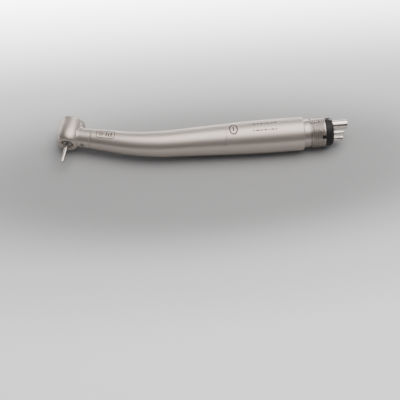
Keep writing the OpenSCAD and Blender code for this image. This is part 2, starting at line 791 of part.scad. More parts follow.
// Stepped hole for one tube: a seat for its shank and a narrower passage behind it
module tube_seat(r) {
    along_x(tube_root_x) cylinder(r = r - shank_step + seat_gap / 2, h = 20, $fn = 48);
    along_x(tube_root_x - 20) cylinder(r = r - shank_step - tube_wall, h = 25, $fn = 48);
}

module manifold_o_ring() {
    color(dark) translate([manifold_seal_x, 0, 0]) face_ring(manifold_r);
}

module joint_ring() {
    r_front = ring_d / 2 - 0.1;
    color(steel) rotate([0, 90, 0]) rotate_extrude() polygon([
        [ring_bore_r, sleeve_end_x - ring_spigot_len], [ring_spigot_r, sleeve_end_x - ring_spigot_len],
        [ring_spigot_r, sleeve_end_x], [r_front, sleeve_end_x], [ring_d / 2, -0.3], [ring_d / 2, 0],
        [ring_bore_r, 0]]);
}

// Thread crests are plain lands; the helix itself is left to the finished surface
module thread_collar() {
    root_r = thread_r - thread_depth;
    crest = 0.3 * thread_pitch;
    crests = [for (i = [0:thread_turns - 1]) let (x = thread_start + i * thread_pitch)
        each [[root_r, x], [thread_r, x + 0.35 * thread_pitch],
            [thread_r, x + 0.35 * thread_pitch + crest], [root_r, x + thread_pitch]]];
    color(steel) difference() {
        rotate([0, 90, 0]) rotate_extrude() polygon(concat(
            [[ring_bore_r, 0], [thread_r, 0], [thread_r, land_len], [root_r - 0.1, land_len + 0.1],
                [root_r - 0.1, thread_start - 0.1]], crests,
            [[root_r, thread_len - thread_end], [thread_r, thread_len - thread_end + 0.2],
                [thread_r, thread_len - thread_edge], [thread_r - thread_edge, thread_len],
                [ring_bore_r, thread_len]]));
        in_pattern(0, key_turn) translate([thread_len - key_len, 0, -key_w / 2])
            cube([key_len + 1, 20, key_w]);
    }
}

module hose_insert() {
    r = insert_d / 2;
    color(dark) difference() {
        union() {
            rotate([0, 90, 0]) rotate_extrude() polygon([[0, manifold_end_x],
                [manifold_r, manifold_end_x], [manifold_r, thread_len], [r, thread_len],
                [r, insert_x - insert_bevel], [r - 0.8 * insert_bevel, insert_x], [0, insert_x]]);
            in_pattern(0, key_turn) intersection() {
                translate([thread_len - key_len + seat_gap, 4, -key_w / 2 + seat_gap])
                    cube([key_len + 0.5, 20, key_w - 2 * seat_gap]);
                along_x(manifold_end_x - 3) cylinder(r = r + 0.1, h = 20);
            }
        }
        in_pattern(exhaust_off, 0) insert_hole(exhaust_d / 2);
        in_pattern(drive_off, 180) insert_hole(drive_d / 2);
        for (s = [-1, 1]) in_pattern(small_off, s * small_turn) insert_hole(small_d / 2);
        along_x(manifold_end_x - 10) cylinder(r = manifold_r, h = 10);
    }
}

module insert_hole(r) {
    along_x(manifold_end_x - 1) cylinder(r = r - shank_step + seat_gap, h = 20, $fn = 48);
}

// One hose tube: a thinner shank held in the block and the insert, and its free end
module hose_tube(r, out) {
    color(bright) difference() {
        union() {
            along_x(tube_root_x) cylinder(r = r - shank_step, h = insert_x - tube_root_x + 0.1, $fn = 64);
            along_x(insert_x) cylinder(r = r, h = out, $fn = 64);
        }
        along_x(tube_root_x - 1) cylinder(r = r - shank_step - tube_wall, h = 60, $fn = 64);
    }
}

head_housing();
head_cap();
push_button();
button_spring();
spindle();
chuck_collet();
chuck_pusher();
impeller();
test_bur();
outer_race(lower_seat_z);  // lower_outer_race
inner_race(lower_seat_z);  // lower_inner_race
balls(lower_seat_z);  // lower_balls
cage(lower_seat_z);  // lower_cage
outer_race(upper_seat_z);  // upper_outer_race
inner_race(upper_seat_z);  // upper_inner_race
balls(upper_seat_z);  // upper_balls
cage(upper_seat_z);  // upper_cage
bearing_o_ring(lower_seat_z);  // lower_o_ring
bearing_o_ring(upper_seat_z);  // upper_o_ring
wave_washer();
light_window();
lamp_module();
neck_block();
front_body();
drive_air_line();
water_line();
chip_air_line();
lamp_wire_pos();
lamp_wire_neg();
coupler_ring();
coupler_o_ring();
rear_sleeve();
line_plate();
generator_case();
generator_cap();
stator_coil();
generator_magnet();
generator_shaft();
generator_wheel();
generator_front_bearing();
generator_rear_bearing();
rear_line(1);  // rear_water_line
rear_line(-1);  // rear_chip_line
manifold_block();
manifold_o_ring();
joint_ring();
thread_collar();
hose_insert();
in_pattern(exhaust_off, 0) hose_tube(exhaust_d / 2, exhaust_out);  // exhaust_tube
in_pattern(drive_off, 180) hose_tube(drive_d / 2, thin_out);  // drive_air_tube
in_pattern(small_off, small_turn) hose_tube(small_d / 2, thin_out);  // water_tube
in_pattern(small_off, -small_turn) hose_tube(small_d / 2, thin_out);  // chip_air_tube
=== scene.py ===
"""Looks of a dental high speed handpiece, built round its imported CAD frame.

Lengths are metres in the frame's own axes: +X runs along the grip towards the hose, the bur
points towards -Y and +Z is up. Profiles and paths are written in millimetres and scaled once.
"""

import json
import logging
import math
from dataclasses import dataclass
from enum import Enum
from typing import ClassVar, Iterable, Optional, Sequence

import bmesh
import bpy
import numpy as np
from mathutils import Matrix, Vector


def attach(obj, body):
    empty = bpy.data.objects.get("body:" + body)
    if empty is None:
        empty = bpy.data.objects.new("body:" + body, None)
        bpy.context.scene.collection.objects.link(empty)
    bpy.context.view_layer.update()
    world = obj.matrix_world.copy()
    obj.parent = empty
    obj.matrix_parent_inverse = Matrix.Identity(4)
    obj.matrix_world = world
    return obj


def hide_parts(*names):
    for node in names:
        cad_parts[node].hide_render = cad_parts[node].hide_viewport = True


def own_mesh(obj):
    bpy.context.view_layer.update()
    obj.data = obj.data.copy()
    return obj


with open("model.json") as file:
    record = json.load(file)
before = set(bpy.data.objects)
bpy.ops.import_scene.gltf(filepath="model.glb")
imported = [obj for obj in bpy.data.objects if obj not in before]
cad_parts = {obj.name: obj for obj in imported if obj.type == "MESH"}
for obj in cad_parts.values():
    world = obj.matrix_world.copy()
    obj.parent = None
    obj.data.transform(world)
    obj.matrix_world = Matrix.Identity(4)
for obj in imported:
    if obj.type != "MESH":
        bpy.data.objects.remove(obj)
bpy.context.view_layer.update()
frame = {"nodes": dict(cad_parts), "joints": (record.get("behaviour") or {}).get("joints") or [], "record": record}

MM = 0.001
SHARP_ANGLE = math.radians(38)
LOG = logging.getLogger("handpiece")


# ---------- shapes as arrays ----------


@dataclass
class Shell:
    """A mesh as arrays: points in millimetres, quads, a UV pair per corner and a wear value per point,
    which is above 0 on worn edges and below 0 in hollows, where it paints shade into the colour."""

    points: np.ndarray
    quads: np.ndarray
    uvs: np.ndarray
    wear: np.ndarray

    def __add__(self, other: "Shell") -> "Shell":
        """Both meshes as one.

        Args:
            other: the mesh that is added.

        Returns:
            The two together.
        """
        return Shell(
            np.concatenate([self.points, other.points]),
            np.concatenate([self.quads, other.quads + len(self.points)]),
            np.concatenate([self.uvs, other.uvs]),
            np.concatenate([self.wear, other.wear]),
        )


@dataclass
class Profile:
    """A line of (radius, height) points with a wear value each, closed on itself or open."""

    points: np.ndarray
    wear: np.ndarray
    closed: bool = True


@dataclass(frozen=True)
class AxisFrame:
    """Where a turned piece stands: a point on its axis, the axis and the direction of its zero angle."""

    origin: np.ndarray
    axis: np.ndarray
    zero: np.ndarray

    @property
    def side(self) -> np.ndarray:
        """The direction of the angle 90 degrees."""
        return np.cross(self.axis, self.zero)

    def place(self, along: np.ndarray, at_zero: np.ndarray, at_side: np.ndarray) -> np.ndarray:
        """Points from their three coordinates in this frame.

        Args:
            along: distances along the axis.
            at_zero: distances along the zero direction.
            at_side: distances along the side direction.

        Returns:
            The points.
        """
        return (
            self.origin
            + along[..., None] * self.axis
            + at_zero[..., None] * self.zero
            + at_side[..., None] * self.side
        )


def grid_shell(
    points: np.ndarray,
    wrap_rows: bool = False,
    wrap_columns: bool = False,
    wear: Optional[np.ndarray] = None,
    scale_u: float = 1.0,
) -> Shell:
    """Makes the quads of a grid of points; a wrapped direction joins its last line to its first.

    Args:
        points: array of rows, columns and 3 coordinates, in millimetres.
        wrap_rows: joins the last row to the first.
        wrap_columns: joins the last column to the first.
        wear: wear of each row, or of each point.
        scale_u: length round the piece that one turn of the columns stands for.

    Returns:
        The grid as a Shell. U is the share of the columns times scale_u, V the length along the rows.
    """
    rows, columns = points.shape[:2]
    i = np.arange(rows if wrap_rows else rows - 1)
    j = np.arange(columns if wrap_columns else columns - 1)
    ii, jj = np.meshgrid(i, j, indexing="ij")
    i2, j2 = (ii + 1) % rows, (jj + 1) % columns
    quads = np.stack([ii * columns + jj, ii * columns + j2, i2 * columns + j2, i2 * columns + jj], -1)
    steps = np.linalg.norm(np.diff(points[:, 0], axis=0, append=points[:1, 0]), axis=-1)
    along = np.concatenate([[0.0], np.cumsum(steps)])
    turn = np.arange(columns + 1) / columns * scale_u
    u = np.stack([turn[jj], turn[jj + 1], turn[jj + 1], turn[jj]], -1)
    v = np.stack([along[ii], along[ii], along[ii + 1], along[ii + 1]], -1)
    if wear is None:
        wear = np.zeros(rows)
    spread = np.broadcast_to(wear[:, None] if wear.ndim == 1 else wear, (rows, columns))
    uvs = np.stack([u, v], -1).reshape(-1, 4, 2)
    return Shell(points.reshape(-1, 3), quads.reshape(-1, 4), uvs, spread.reshape(-1))


def rounded(corners: Sequence[tuple], closed: bool = True, steps: int = 5) -> Profile:
    """Rounds the corners of a line. Each corner is cut back by its length and a quadratic curve
    with the corner as its middle control point joins the two cuts.

    Args:
        corners: (radius, height, cut) for each corner, in millimetres.
        closed: whether the line returns to its start.
        steps: points on each rounded corner.

    Returns:
        The rounded line, whose wear is 1 at the middle of a small rounded corner and 0 elsewhere.
    """
    given = np.array(corners, float)
    p, cut = given[:, :2], given[:, 2]
    before, after = np.roll(p, 1, 0) - p, np.roll(p, -1, 0) - p
    if not closed:
        cut = cut.copy()
        cut[[0, -1]] = 0
    reach_b = np.minimum(cut, 0.49 * np.linalg.norm(before, axis=1))
    reach_a = np.minimum(cut, 0.49 * np.linalg.norm(after, axis=1))
    unit_b = before / np.maximum(np.linalg.norm(before, axis=1), 1e-9)[:, None]
    unit_a = after / np.maximum(np.linalg.norm(after, axis=1), 1e-9)[:, None]
    start, end = p + unit_b * reach_b[:, None], p + unit_a * reach_a[:, None]
    s = np.linspace(0, 1, steps)[None, :, None]
    curves = (1 - s) ** 2 * start[:, None] + 2 * s * (1 - s) * p[:, None] + s**2 * end[:, None]
    bump = np.where(cut[:, None] > 0, 4 * s[..., 0] * (1 - s[..., 0]), 0.0) * (cut[:, None] < 0.6)
    keep = np.ones((len(p), steps), bool)
    keep[cut <= 0, 1:] = False
    return Profile(curves[keep], bump[keep], closed)


def arc_corners(centre: tuple, radii: tuple, start: float, end: float, count: int) -> list:
    """Points of an elliptical arc about a centre, between two angles in degrees, as uncut corners."""
    a = np.radians(np.linspace(start, end, count))
    return [(centre[0] + radii[0] * c, centre[1] + radii[1] * s, 0.0) for c, s in zip(np.cos(a), np.sin(a))]


def turned(profile: Profile, stand: AxisFrame, segments: int = 128) -> Shell:
    """Turns a profile round an axis: each point is height along the axis plus radius times the
    zero direction turned by the angle.

    Args:
        profile: the line to turn.
        stand: where its axis stands.
        segments: steps round the axis.

    Returns:
        The turned surface.
    """
    angle = np.linspace(0, 2 * np.pi, segments, endpoint=False)
    radius, height = profile.points[:, :1], profile.points[:, 1:]
    grid = stand.place(height + 0 * angle, radius * np.cos(angle), radius * np.sin(angle))
    return grid_shell(grid, profile.closed, True, profile.wear, 2 * np.pi * float(radius.max()))


def make_object(name: str, shell: Shell, sharp: float = SHARP_ANGLE) -> bpy.types.Object:
    """Puts a Shell into the scene as a closed, smooth-shaded object with its faces outwards.

    Args:
        name: name of the piece.
        shell: its mesh, in millimetres.
        sharp: angle above which an edge stays sharp.

    Returns:
        The new object, at the origin, with a UV map in metres and a wear attribute.
    """
    mesh = bpy.data.meshes.new(name)
    mesh.vertices.add(len(shell.points))
    mesh.vertices.foreach_set("co", (shell.points * MM).astype(np.float32).ravel())
    mesh.loops.add(shell.quads.size)
    mesh.loops.foreach_set("vertex_index", shell.quads.astype(np.int32).ravel())
    mesh.polygons.add(len(shell.quads))
    mesh.polygons.foreach_set("loop_start", np.arange(0, shell.quads.size, 4, dtype=np.int32))
    mesh.uv_layers.new(name="UVMap").uv.foreach_set("vector", (shell.uvs * MM).astype(np.float32).ravel())
    mesh.attributes.new("wear", "FLOAT", "POINT").data.foreach_set("value", shell.wear.astype(np.float32))
    mesh.update(calc_edges=True)
    work = bmesh.new()
    work.from_mesh(mesh)
    bmesh.ops.remove_doubles(work, verts=work.verts, dist=1e-7)
    bmesh.ops.recalc_face_normals(work, faces=work.faces)
    work.to_mesh(mesh)
    work.free()
    mesh.shade_smooth()
    mesh.set_sharp_from_angle(angle=sharp)
    made = bpy.data.objects.new(name, mesh)
    bpy.context.scene.collection.objects.link(made)
    LOG.info("piece %s: %d faces", name, len(mesh.polygons))
    return made


# ---------- where things are ----------


@dataclass(frozen=True)
class BodyPath:
    """Centre line of the bent body and the radius of its skin, in millimetres from the head axis."""

    bend_angle: float = math.radians(14.4)
    neck_run: float = 22.8
    bend_r: float = 101.0
    grip_run: float = 24.8
    seam_x: float = -39.85
    neck_len: float = 10.6
    neck_r: float = 4.68
    grip_r: float = 7.275

    @property
    def bend_x(self) -> float:
        """Where the bend meets the straight grip."""
        return self.seam_x - self.grip_run

    @property
    def bend_len(self) -> float:
        """Length of the bend along the centre line."""
        return self.bend_r * self.bend_angle

    @property
    def seam_t(self) -> float:
        """Distance along the centre line to the rear sleeve."""
        return self.neck_run + self.bend_len + self.grip_run

    def skin(self, t: np.ndarray) -> np.ndarray:
        """Radius of the skin, which grows evenly with the distance t."""
        return self.neck_r + (self.grip_r - self.neck_r) * (t - self.neck_len) / (self.seam_t - self.neck_len)

    def heading(self, t: np.ndarray) -> np.ndarray:
        """Angle of the centre line to the grip: full in the neck, falling evenly over the bend, then none."""
        return np.clip(self.bend_angle - (t - self.neck_run) / self.bend_r, 0, self.bend_angle)

    def centre(self, t: np.ndarray) -> np.ndarray:
        """Points of the centre line: the circle's point for the heading, moved along the straight
        on whichever side of the bend t lies.

        Args:
            t: distances along the line.

        Returns:
            The points.
        """
        h = self.heading(t)
        x = self.bend_x - self.bend_r * np.sin(h)
        y = self.bend_r * (1 - np.cos(h))
        over = np.minimum(t - self.neck_run, 0) + np.maximum(t - self.neck_run - self.bend_len, 0)
        return np.stack([x + over * np.cos(h), y - over * np.sin(h), 0 * h], -1)

    def place(self, t: np.ndarray, radius: np.ndarray, angle: np.ndarray) -> np.ndarray:
        """Points round the centre line; the angle runs from the button's side towards +Z.

        Args:
            t: distances along the line.
            radius: distances from it.
            angle: angles round it.

        Returns:
            The points.
        """
        h = self.heading(t)
        side = np.stack([np.sin(h), np.cos(h), 0 * h], -1)
        up = np.array([0.0, 0.0, 1.0])
        return (
            self.centre(t)
            + (radius * np.cos(angle))[..., None] * side
            + (radius * np.sin(angle))[..., None] * up
        )


PATH = BodyPath()
SPIN = next(j for j in frame["joints"] if j["name"] == "rotor_spin")
HEAD_AXIS = np.array(SPIN["axis"], float)
NECK_AXIS = np.cross(HEAD_AXIS, [0.0, 0.0, 1.0])
HEAD = AxisFrame(np.array(SPIN["pos_m"], float) / MM, HEAD_AXIS, NECK_AXIS)
GRIP = AxisFrame(np.zeros(3), np.array([1.0, 0.0, 0.0]), np.array([0.0, 1.0, 0.0]))


# ---------- node groups ----------


def put(tree: bpy.types.NodeTree, kind: str, settings: Optional[dict] = None, **inputs) -> bpy.types.Node:
    """Adds a node to a tree.

    Args:
        tree: the tree.
        kind: type name of the node.
        settings: properties of the node and their values.
        **inputs: a value or a socket for each input, by its name with _ for a space, or by i and its number.

    Returns:
        The node.
    """
    node = tree.nodes.new(kind)
    for key, value in (settings or {}).items():
        setattr(node, key, value)
    for key, value in inputs.items():
        numbered = key[0] == "i" and key[1:].isdigit()
        socket = node.inputs[int(key[1:]) if numbered else key.replace("_", " ")]
        if isinstance(value, bpy.types.NodeSocket):
            tree.links.new(value, socket)
        else:
            socket.default_value = value
    return node


def ramp(
    tree: bpy.types.NodeTree, value: bpy.types.NodeSocket, stops: Sequence[tuple], ease: bool = False
) -> bpy.types.NodeSocket:
    """Turns a value into a grey by a ramp.

    Args:
        tree: the tree.
        value: the value.
        stops: (position, grey) of each stop, in order.
        ease: whether the grey leaves and reaches each stop gently.

    Returns:
        The grey.
    """
    node = put(tree, "ShaderNodeValToRGB", i0=value)
    elements = node.color_ramp.elements
    for _ in stops[2:]:
        elements.new(0.5)
    for element, (position, grey) in zip(elements, stops):
        element.position = position
        element.color = (grey, grey, grey, 1)
    if ease:
        node.color_ramp.interpolation = "EASE"
    return node.outputs["Color"]


def math_node(tree: bpy.types.NodeTree, operation: str, a, b=0.0, c=0.0) -> bpy.types.NodeSocket:
    """One sum of numbers or sockets."""
    return put(tree, "ShaderNodeMath", {"operation": operation}, i0=a, i1=b, i2=c).outputs[0]


def mix(tree: bpy.types.NodeTree, share: bpy.types.NodeSocket, low, high) -> bpy.types.NodeSocket:
    """Mixes two colours, each a tuple or a socket, from low at a share of 0 to high at 1."""
    low, high = ((*c, 1) if isinstance(c, tuple) else c for c in (low, high))
    return put(tree, "ShaderNodeMix", {"data_type": "RGBA"}, i0=share, i6=low, i7=high).outputs[2]


def new_material(name: str) -> tuple:
    """Makes an empty node material.

    Args:
        name: its name.

    Returns:
        The material, its tree and its shader.
    """
    made = bpy.data.materials.new(name)
    made.use_nodes = True
    return made, made.node_tree, made.node_tree.nodes["Principled BSDF"]


def lay(tree: bpy.types.NodeTree, group: bpy.types.NodeTree, **inputs) -> bpy.types.Node:
    """Places a shared effect in a material with its own values."""
    return put(tree, "ShaderNodeGroup", {"node_tree": group}, **inputs)


def new_group(name: str, inputs: Iterable[tuple], outputs: Iterable[tuple]) -> tuple:
    """Makes an empty shader group.

    Args:
        name: name of the group.
        inputs: (name, socket type, default) of each input.
        outputs: (name, socket type) of each output.

    Returns:
        The group, its input node and its output node.
    """
    group = bpy.data.node_groups.new(name, "ShaderNodeTree")
    for label, kind, default in inputs:
        socket = group.interface.new_socket(name=label, in_out="INPUT", socket_type=kind)
        if default is not None:
            socket.default_value = default
    for label, kind in outputs:
        group.interface.new_socket(name=label, in_out="OUTPUT", socket_type=kind)
    return group, group.nodes.new("NodeGroupInput"), group.nodes.new("NodeGroupOutput")


FLOAT, COLOUR, VECTOR = "NodeSocketFloat", "NodeSocketColor", "NodeSocketVector"


class Effects:
    """The shared surface effects, each a shader group that is built once."""

    def __init__(self) -> None:
        """Builds every group."""
        self.grain = self._grain()
        self.handling = self._handling()
        self.edges = self._edges()
        self.mottle = self._mottle()

    def _grain(self) -> bpy.types.NodeTree:
        """Fine turning marks: noise stretched along the first coordinate, in two scales, summed."""
        group, given, out = new_group(
            "turning_grain",
            [("Vector", VECTOR, None), ("Spacing", FLOAT, 0.0001), ("Length", FLOAT, 0.004)],
            [("Height", FLOAT), ("Mask", FLOAT)],
        )
        across = math_node(group, "DIVIDE", 1.0, given.outputs["Spacing"])
        along = math_node(group, "DIVIDE", 1.0, given.outputs["Length"])
        scale = put(group, "ShaderNodeCombineXYZ", X=along, Y=across, Z=across).outputs[0]
        vector = given.outputs["Vector"]
        at = put(group, "ShaderNodeVectorMath", {"operation": "MULTIPLY"}, i0=vector, i1=scale).outputs[0]
        fine = put(group, "ShaderNodeTexNoise", Vector=at, Scale=1.0, Detail=3.0, Roughness=0.6)
        coarse = put(group, "ShaderNodeTexNoise", Vector=at, Scale=0.23, Detail=2.0, Roughness=0.5)
        total = math_node(group, "MULTIPLY_ADD", coarse.outputs["Fac"], 0.6, fine.outputs["Fac"])
        group.links.new(total, out.inputs["Height"])
        group.links.new(ramp(group, coarse.outputs["Fac"], [(0.3, 0.0), (0.7, 1.0)]), out.inputs["Mask"])
        return group

    def _handling(self) -> bpy.types.NodeTree:
        """Faint smudges from handling: two sizes of noise, multiplied, so that they lie in patches."""
        group, given, out = new_group(
            "handling_smudges",
            [("Vector", VECTOR, None), ("Size", FLOAT, 0.008)],
            [("Smudge", FLOAT), ("Tone", FLOAT)],
        )
        scale = math_node(group, "DIVIDE", 1.0, given.outputs["Size"])
        vector = given.outputs["Vector"]
        big = put(group, "ShaderNodeTexNoise", Vector=vector, Scale=scale, Detail=2.0)
        closer = math_node(group, "MULTIPLY", scale, 4.7)
        small = put(group, "ShaderNodeTexNoise", Vector=vector, Scale=closer, Detail=4.0, Distortion=0.6)
        patch = ramp(group, big.outputs["Fac"], [(0.42, 0.0), (0.68, 1.0)])
        streak = ramp(group, small.outputs["Fac"], [(0.35, 0.0), (0.75, 1.0)])
        group.links.new(math_node(group, "MULTIPLY", patch, streak), out.inputs["Smudge"])
        group.links.new(big.outputs["Fac"], out.inputs["Tone"])
        return group

    def _edges(self) -> bpy.types.NodeTree:
        """Edge wear and painted shade: the wear value, broken up by noise, brightens edges where it is above 0
        and paints shade into hollows where it is below 0."""
        group, given, out = new_group(
            "edge_wear",
            [("Wear", FLOAT, 0.0), ("Vector", VECTOR, None), ("Amount", FLOAT, 0.5)],
            [("Mask", FLOAT), ("PaintedShade", FLOAT)],
        )
        noise = put(group, "ShaderNodeTexNoise", Vector=given.outputs["Vector"], Scale=1800.0, Detail=4.0)
        broken = math_node(group, "MULTIPLY_ADD", noise.outputs["Fac"], 0.9, -0.25)
        spread = math_node(group, "MULTIPLY", given.outputs["Wear"], broken)
        group.links.new(math_node(group, "MULTIPLY", spread, given.outputs["Amount"]), out.inputs["Mask"])
        # Painted shade: where the wear value is below 0 it darkens the hollow, broken up by the same noise.
        hollow = math_node(group, "MAXIMUM", math_node(group, "MULTIPLY", given.outputs["Wear"], -1.0), 0.0)
        cloud = math_node(group, "MULTIPLY_ADD", noise.outputs["Fac"], 0.5, 0.6)
        group.links.new(math_node(group, "MULTIPLY", hollow, cloud), out.inputs["PaintedShade"])
        return group

    def _mottle(self) -> bpy.types.NodeTree:
        """A small even mottle for moulded and cast surfaces: cells and noise mixed into one height."""
        group, given, out = new_group(
            "moulded_mottle",
            [("Vector", VECTOR, None), ("Size", FLOAT, 0.0003)],
            [("Height", FLOAT), ("Mask", FLOAT)],
        )
        scale = math_node(group, "DIVIDE", 1.0, given.outputs["Size"])
        cells = put(group, "ShaderNodeTexVoronoi", Vector=given.outputs["Vector"], Scale=scale)
        noise = put(group, "ShaderNodeTexNoise", Vector=given.outputs["Vector"], Scale=scale, Detail=5.0)
        total = math_node(group, "MULTIPLY_ADD", cells.outputs["Distance"], 0.4, noise.outputs["Fac"])
        group.links.new(total, out.inputs["Height"])
        group.links.new(noise.outputs["Fac"], out.inputs["Mask"])
        return group


class Grain(Enum):
    """What a finish's marks follow: the piece's own UV map, or the frame's axes."""

    PIECE = "piece"
    FRAME = "frame"


@dataclass(frozen=True)
class MetalFinish:
    """A turned or drawn metal: its tone, how rough it is and how strongly its marks show."""

    name: str
    colour: tuple
    shade: tuple
    roughness: float
    spread: float = 0.05
    spacing: float = 0.00008
    length: float = 0.004
    depth: float = 0.000002
    smudge: float = 0.06
    wear: float = 0.4
    grain: Grain = Grain.PIECE
    metallic: float = 1.0
    WORN_GAIN: ClassVar[float] = 1.12
    # Share of the shade tone kept in the painted shade of hollows.
    PAINTED_SHADE_SHARE: ClassVar[float] = 0.22

    def material(self, effects: Effects) -> bpy.types.Material:
        """Builds the material: grain and smudges vary tone and roughness, edges brighten with wear and
        hollows darken with painted shade.

        Args:
            effects: the shared effects.

        Returns:
            The material.
        """
        made, tree, shader = new_material(self.name)
        shader.inputs["Metallic"].default_value = self.metallic
        places = put(tree, "ShaderNodeTexCoord").outputs
        where = places["UV" if self.grain is Grain.PIECE else "Object"]
        grain = lay(tree, effects.grain, Vector=where, Spacing=self.spacing, Length=self.length)
        hands = lay(tree, effects.handling, Vector=places["Object"])
        worn = put(tree, "ShaderNodeAttribute", {"attribute_name": "wear"}).outputs["Fac"]
        edges = lay(tree, effects.edges, Wear=worn, Vector=places["Object"], Amount=self.wear)
        tone = math_node(tree, "MULTIPLY_ADD", grain.outputs["Mask"], 0.45, 0.05)
        tone = math_node(tree, "MULTIPLY_ADD", hands.outputs["Tone"], 0.5, tone)
        bright = tuple(min(1.0, c * self.WORN_GAIN) for c in self.colour)
        dark = tuple(c * self.PAINTED_SHADE_SHARE for c in self.shade)
        base = mix(tree, edges.outputs["Mask"], mix(tree, tone, self.shade, self.colour), bright)
        # Painted shade: hollows are mixed towards the dark colour where the wear value is below 0.
        tree.links.new(mix(tree, edges.outputs["PaintedShade"], base, dark), shader.inputs["Base Color"])
        middle = self.roughness - self.spread / 2
        rough = math_node(tree, "MULTIPLY_ADD", grain.outputs["Mask"], self.spread, middle)
        rough = math_node(tree, "MULTIPLY_ADD", hands.outputs["Smudge"], self.smudge, rough)
        rough = math_node(tree, "MULTIPLY_ADD", edges.outputs["Mask"], -0.1, rough)
        tree.links.new(rough, shader.inputs["Roughness"])
        bump = put(tree, "ShaderNodeBump", Strength=1.0, Distance=self.depth, Height=grain.outputs["Height"])
        tree.links.new(bump.outputs["Normal"], shader.inputs["Normal"])
        return made


@dataclass(frozen=True)
class MouldedFinish:
    """Rubber, resin, ceramic or coating: a mottled body that isn't metal."""

    name: str
    colour: tuple
    shade: tuple
    roughness: float
    size: float = 0.0003
    depth: float = 0.000008
    spread: float = 0.12
    smudge: float = 0.08
    coat: float = 0.0
    specular: float = 0.5

    def material(self, effects: Effects) -> bpy.types.Material:
        """Builds the material: the mottle varies tone, roughness and height, smudges vary roughness.

        Args:
            effects: the shared effects.

        Returns:
            The material.
        """
        made, tree, shader = new_material(self.name)
        shader.inputs["Specular IOR Level"].default_value = self.specular
        shader.inputs["Coat Weight"].default_value = self.coat
        where = put(tree, "ShaderNodeTexCoord").outputs["Object"]
        mottle = lay(tree, effects.mottle, Vector=where, Size=self.size)
        hands = lay(tree, effects.handling, Vector=where, Size=0.005)
        base = mix(tree, mottle.outputs["Mask"], self.shade, self.colour)
        tree.links.new(base, shader.inputs["Base Color"])
        middle = self.roughness - self.spread / 2
        rough = math_node(tree, "MULTIPLY_ADD", mottle.outputs["Mask"], self.spread, middle)
        rough = math_node(tree, "MULTIPLY_ADD", hands.outputs["Smudge"], self.smudge, rough)
        tree.links.new(rough, shader.inputs["Roughness"])
        bump = put(tree, "ShaderNodeBump", Strength=1.0, Distance=self.depth, Height=mottle.outputs["Height"])
        tree.links.new(bump.outputs["Normal"], shader.inputs["Normal"])
        return made


@dataclass(frozen=True)
class LensFinish:
    """Clear glass of the lamp window, with a breath of dust that roughens it in spots."""

    name: str = "lens_glass_finish"
    roughness: float = 0.06

    def material(self, effects: Effects) -> bpy.types.Material:
        """Builds the glass, whose tone and roughness vary with the dust.

        Args:
            effects: the shared effects.

        Returns:
            The material.
        """
        made, tree, shader = new_material(self.name)
        shader.inputs["Transmission Weight"].default_value = 0.85
        shader.inputs["IOR"].default_value = 1.5
        where = put(tree, "ShaderNodeTexCoord").outputs["Object"]
        dust = lay(tree, effects.mottle, Vector=where, Size=0.0004).outputs["Mask"]
        tree.links.new(mix(tree, dust, (0.78, 0.84, 0.88), (0.93, 0.96, 0.98)), shader.inputs["Base Color"])
        rough = math_node(tree, "MULTIPLY_ADD", dust, 0.08, self.roughness)
        tree.links.new(rough, shader.inputs["Roughness"])
        return made


@dataclass(frozen=True)
class CoilFinish:
    """Enamelled copper windings: bands round the grip axis with dark gaps between the turns."""

    name: str = "coil_copper_finish"
    pitch: float = 0.00018

    def material(self, effects: Effects) -> bpy.types.Material:
        """Builds the windings from a wave along X, used for tone, roughness and height.

        Args:
            effects: the shared effects.

        Returns:
            The material.
        """
        made, tree, shader = new_material(self.name)
        shader.inputs["Metallic"].default_value = 0.9
        where = put(tree, "ShaderNodeTexCoord").outputs["Object"]
        wave = put(
            tree,
            "ShaderNodeTexWave",
            {"wave_type": "BANDS", "bands_direction": "X"},
            Vector=where,
            Scale=0.314 / self.pitch / 2,
            Distortion=0.4,
            Detail=1.0,
        )
        mottle = lay(tree, effects.mottle, Vector=where, Size=0.0006)
        turns = ramp(tree, wave.outputs["Fac"], [(0.1, 0.0), (0.55, 1.0)])
        patches = math_node(tree, "MULTIPLY_ADD", mottle.outputs["Mask"], 0.6, 0.5)
        tone = math_node(tree, "MULTIPLY", turns, patches)
        tree.links.new(mix(tree, tone, (0.16, 0.05, 0.02), (0.82, 0.36, 0.16)), shader.inputs["Base Color"])
        tree.links.new(math_node(tree, "MULTIPLY_ADD", turns, -0.2, 0.5), shader.inputs["Roughness"])
        bump = put(tree, "ShaderNodeBump", Strength=1.0, Distance=0.00004, Height=wave.outputs["Fac"])
        tree.links.new(bump.outputs["Normal"], shader.inputs["Normal"])
        return made


BODY_STEEL = MetalFinish(
    "satin_body_steel", (0.56, 0.5, 0.455), (0.5, 0.445, 0.4), 0.42, spread=0.05, depth=0.0000012, smudge=0.05
)
COLLAR_STEEL = MetalFinish(
    "turned_collar_steel", (0.53, 0.48, 0.44), (0.41, 0.37, 0.335), 0.38, spacing=0.00011,
    depth=0.000004, wear=0.7
)
BUTTON_STEEL = MetalFinish("button_steel_finish", (0.6, 0.57, 0.54), (0.55, 0.52, 0.49), 0.28, length=0.003)
TUBE_STEEL = MetalFinish(
    "polished_tube_steel", (0.72, 0.67, 0.62), (0.64, 0.59, 0.54), 0.19, spread=0.04,
    depth=0.0000002, smudge=0.06
)
BEARING_STEEL = MetalFinish(
    "ground_bearing_steel", (0.7, 0.7, 0.7), (0.62, 0.62, 0.63), 0.14, grain=Grain.FRAME, depth=0.0000005
)
ROTOR_STEEL = MetalFinish(
    "ground_rotor_steel", (0.42, 0.41, 0.4), (0.34, 0.33, 0.325), 0.32, grain=Grain.FRAME, depth=0.000001
)
WHEEL_ALLOY = MetalFinish(
    "wheel_alloy_finish", (0.72, 0.72, 0.72), (0.62, 0.62, 0.63), 0.34, grain=Grain.FRAME, spacing=0.00012
)
INNER_BRASS = MetalFinish(
    "inner_brass_finish", (0.72, 0.57, 0.3), (0.6, 0.45, 0.2), 0.3, grain=Grain.FRAME,
    spacing=0.0001, smudge=0.15
)
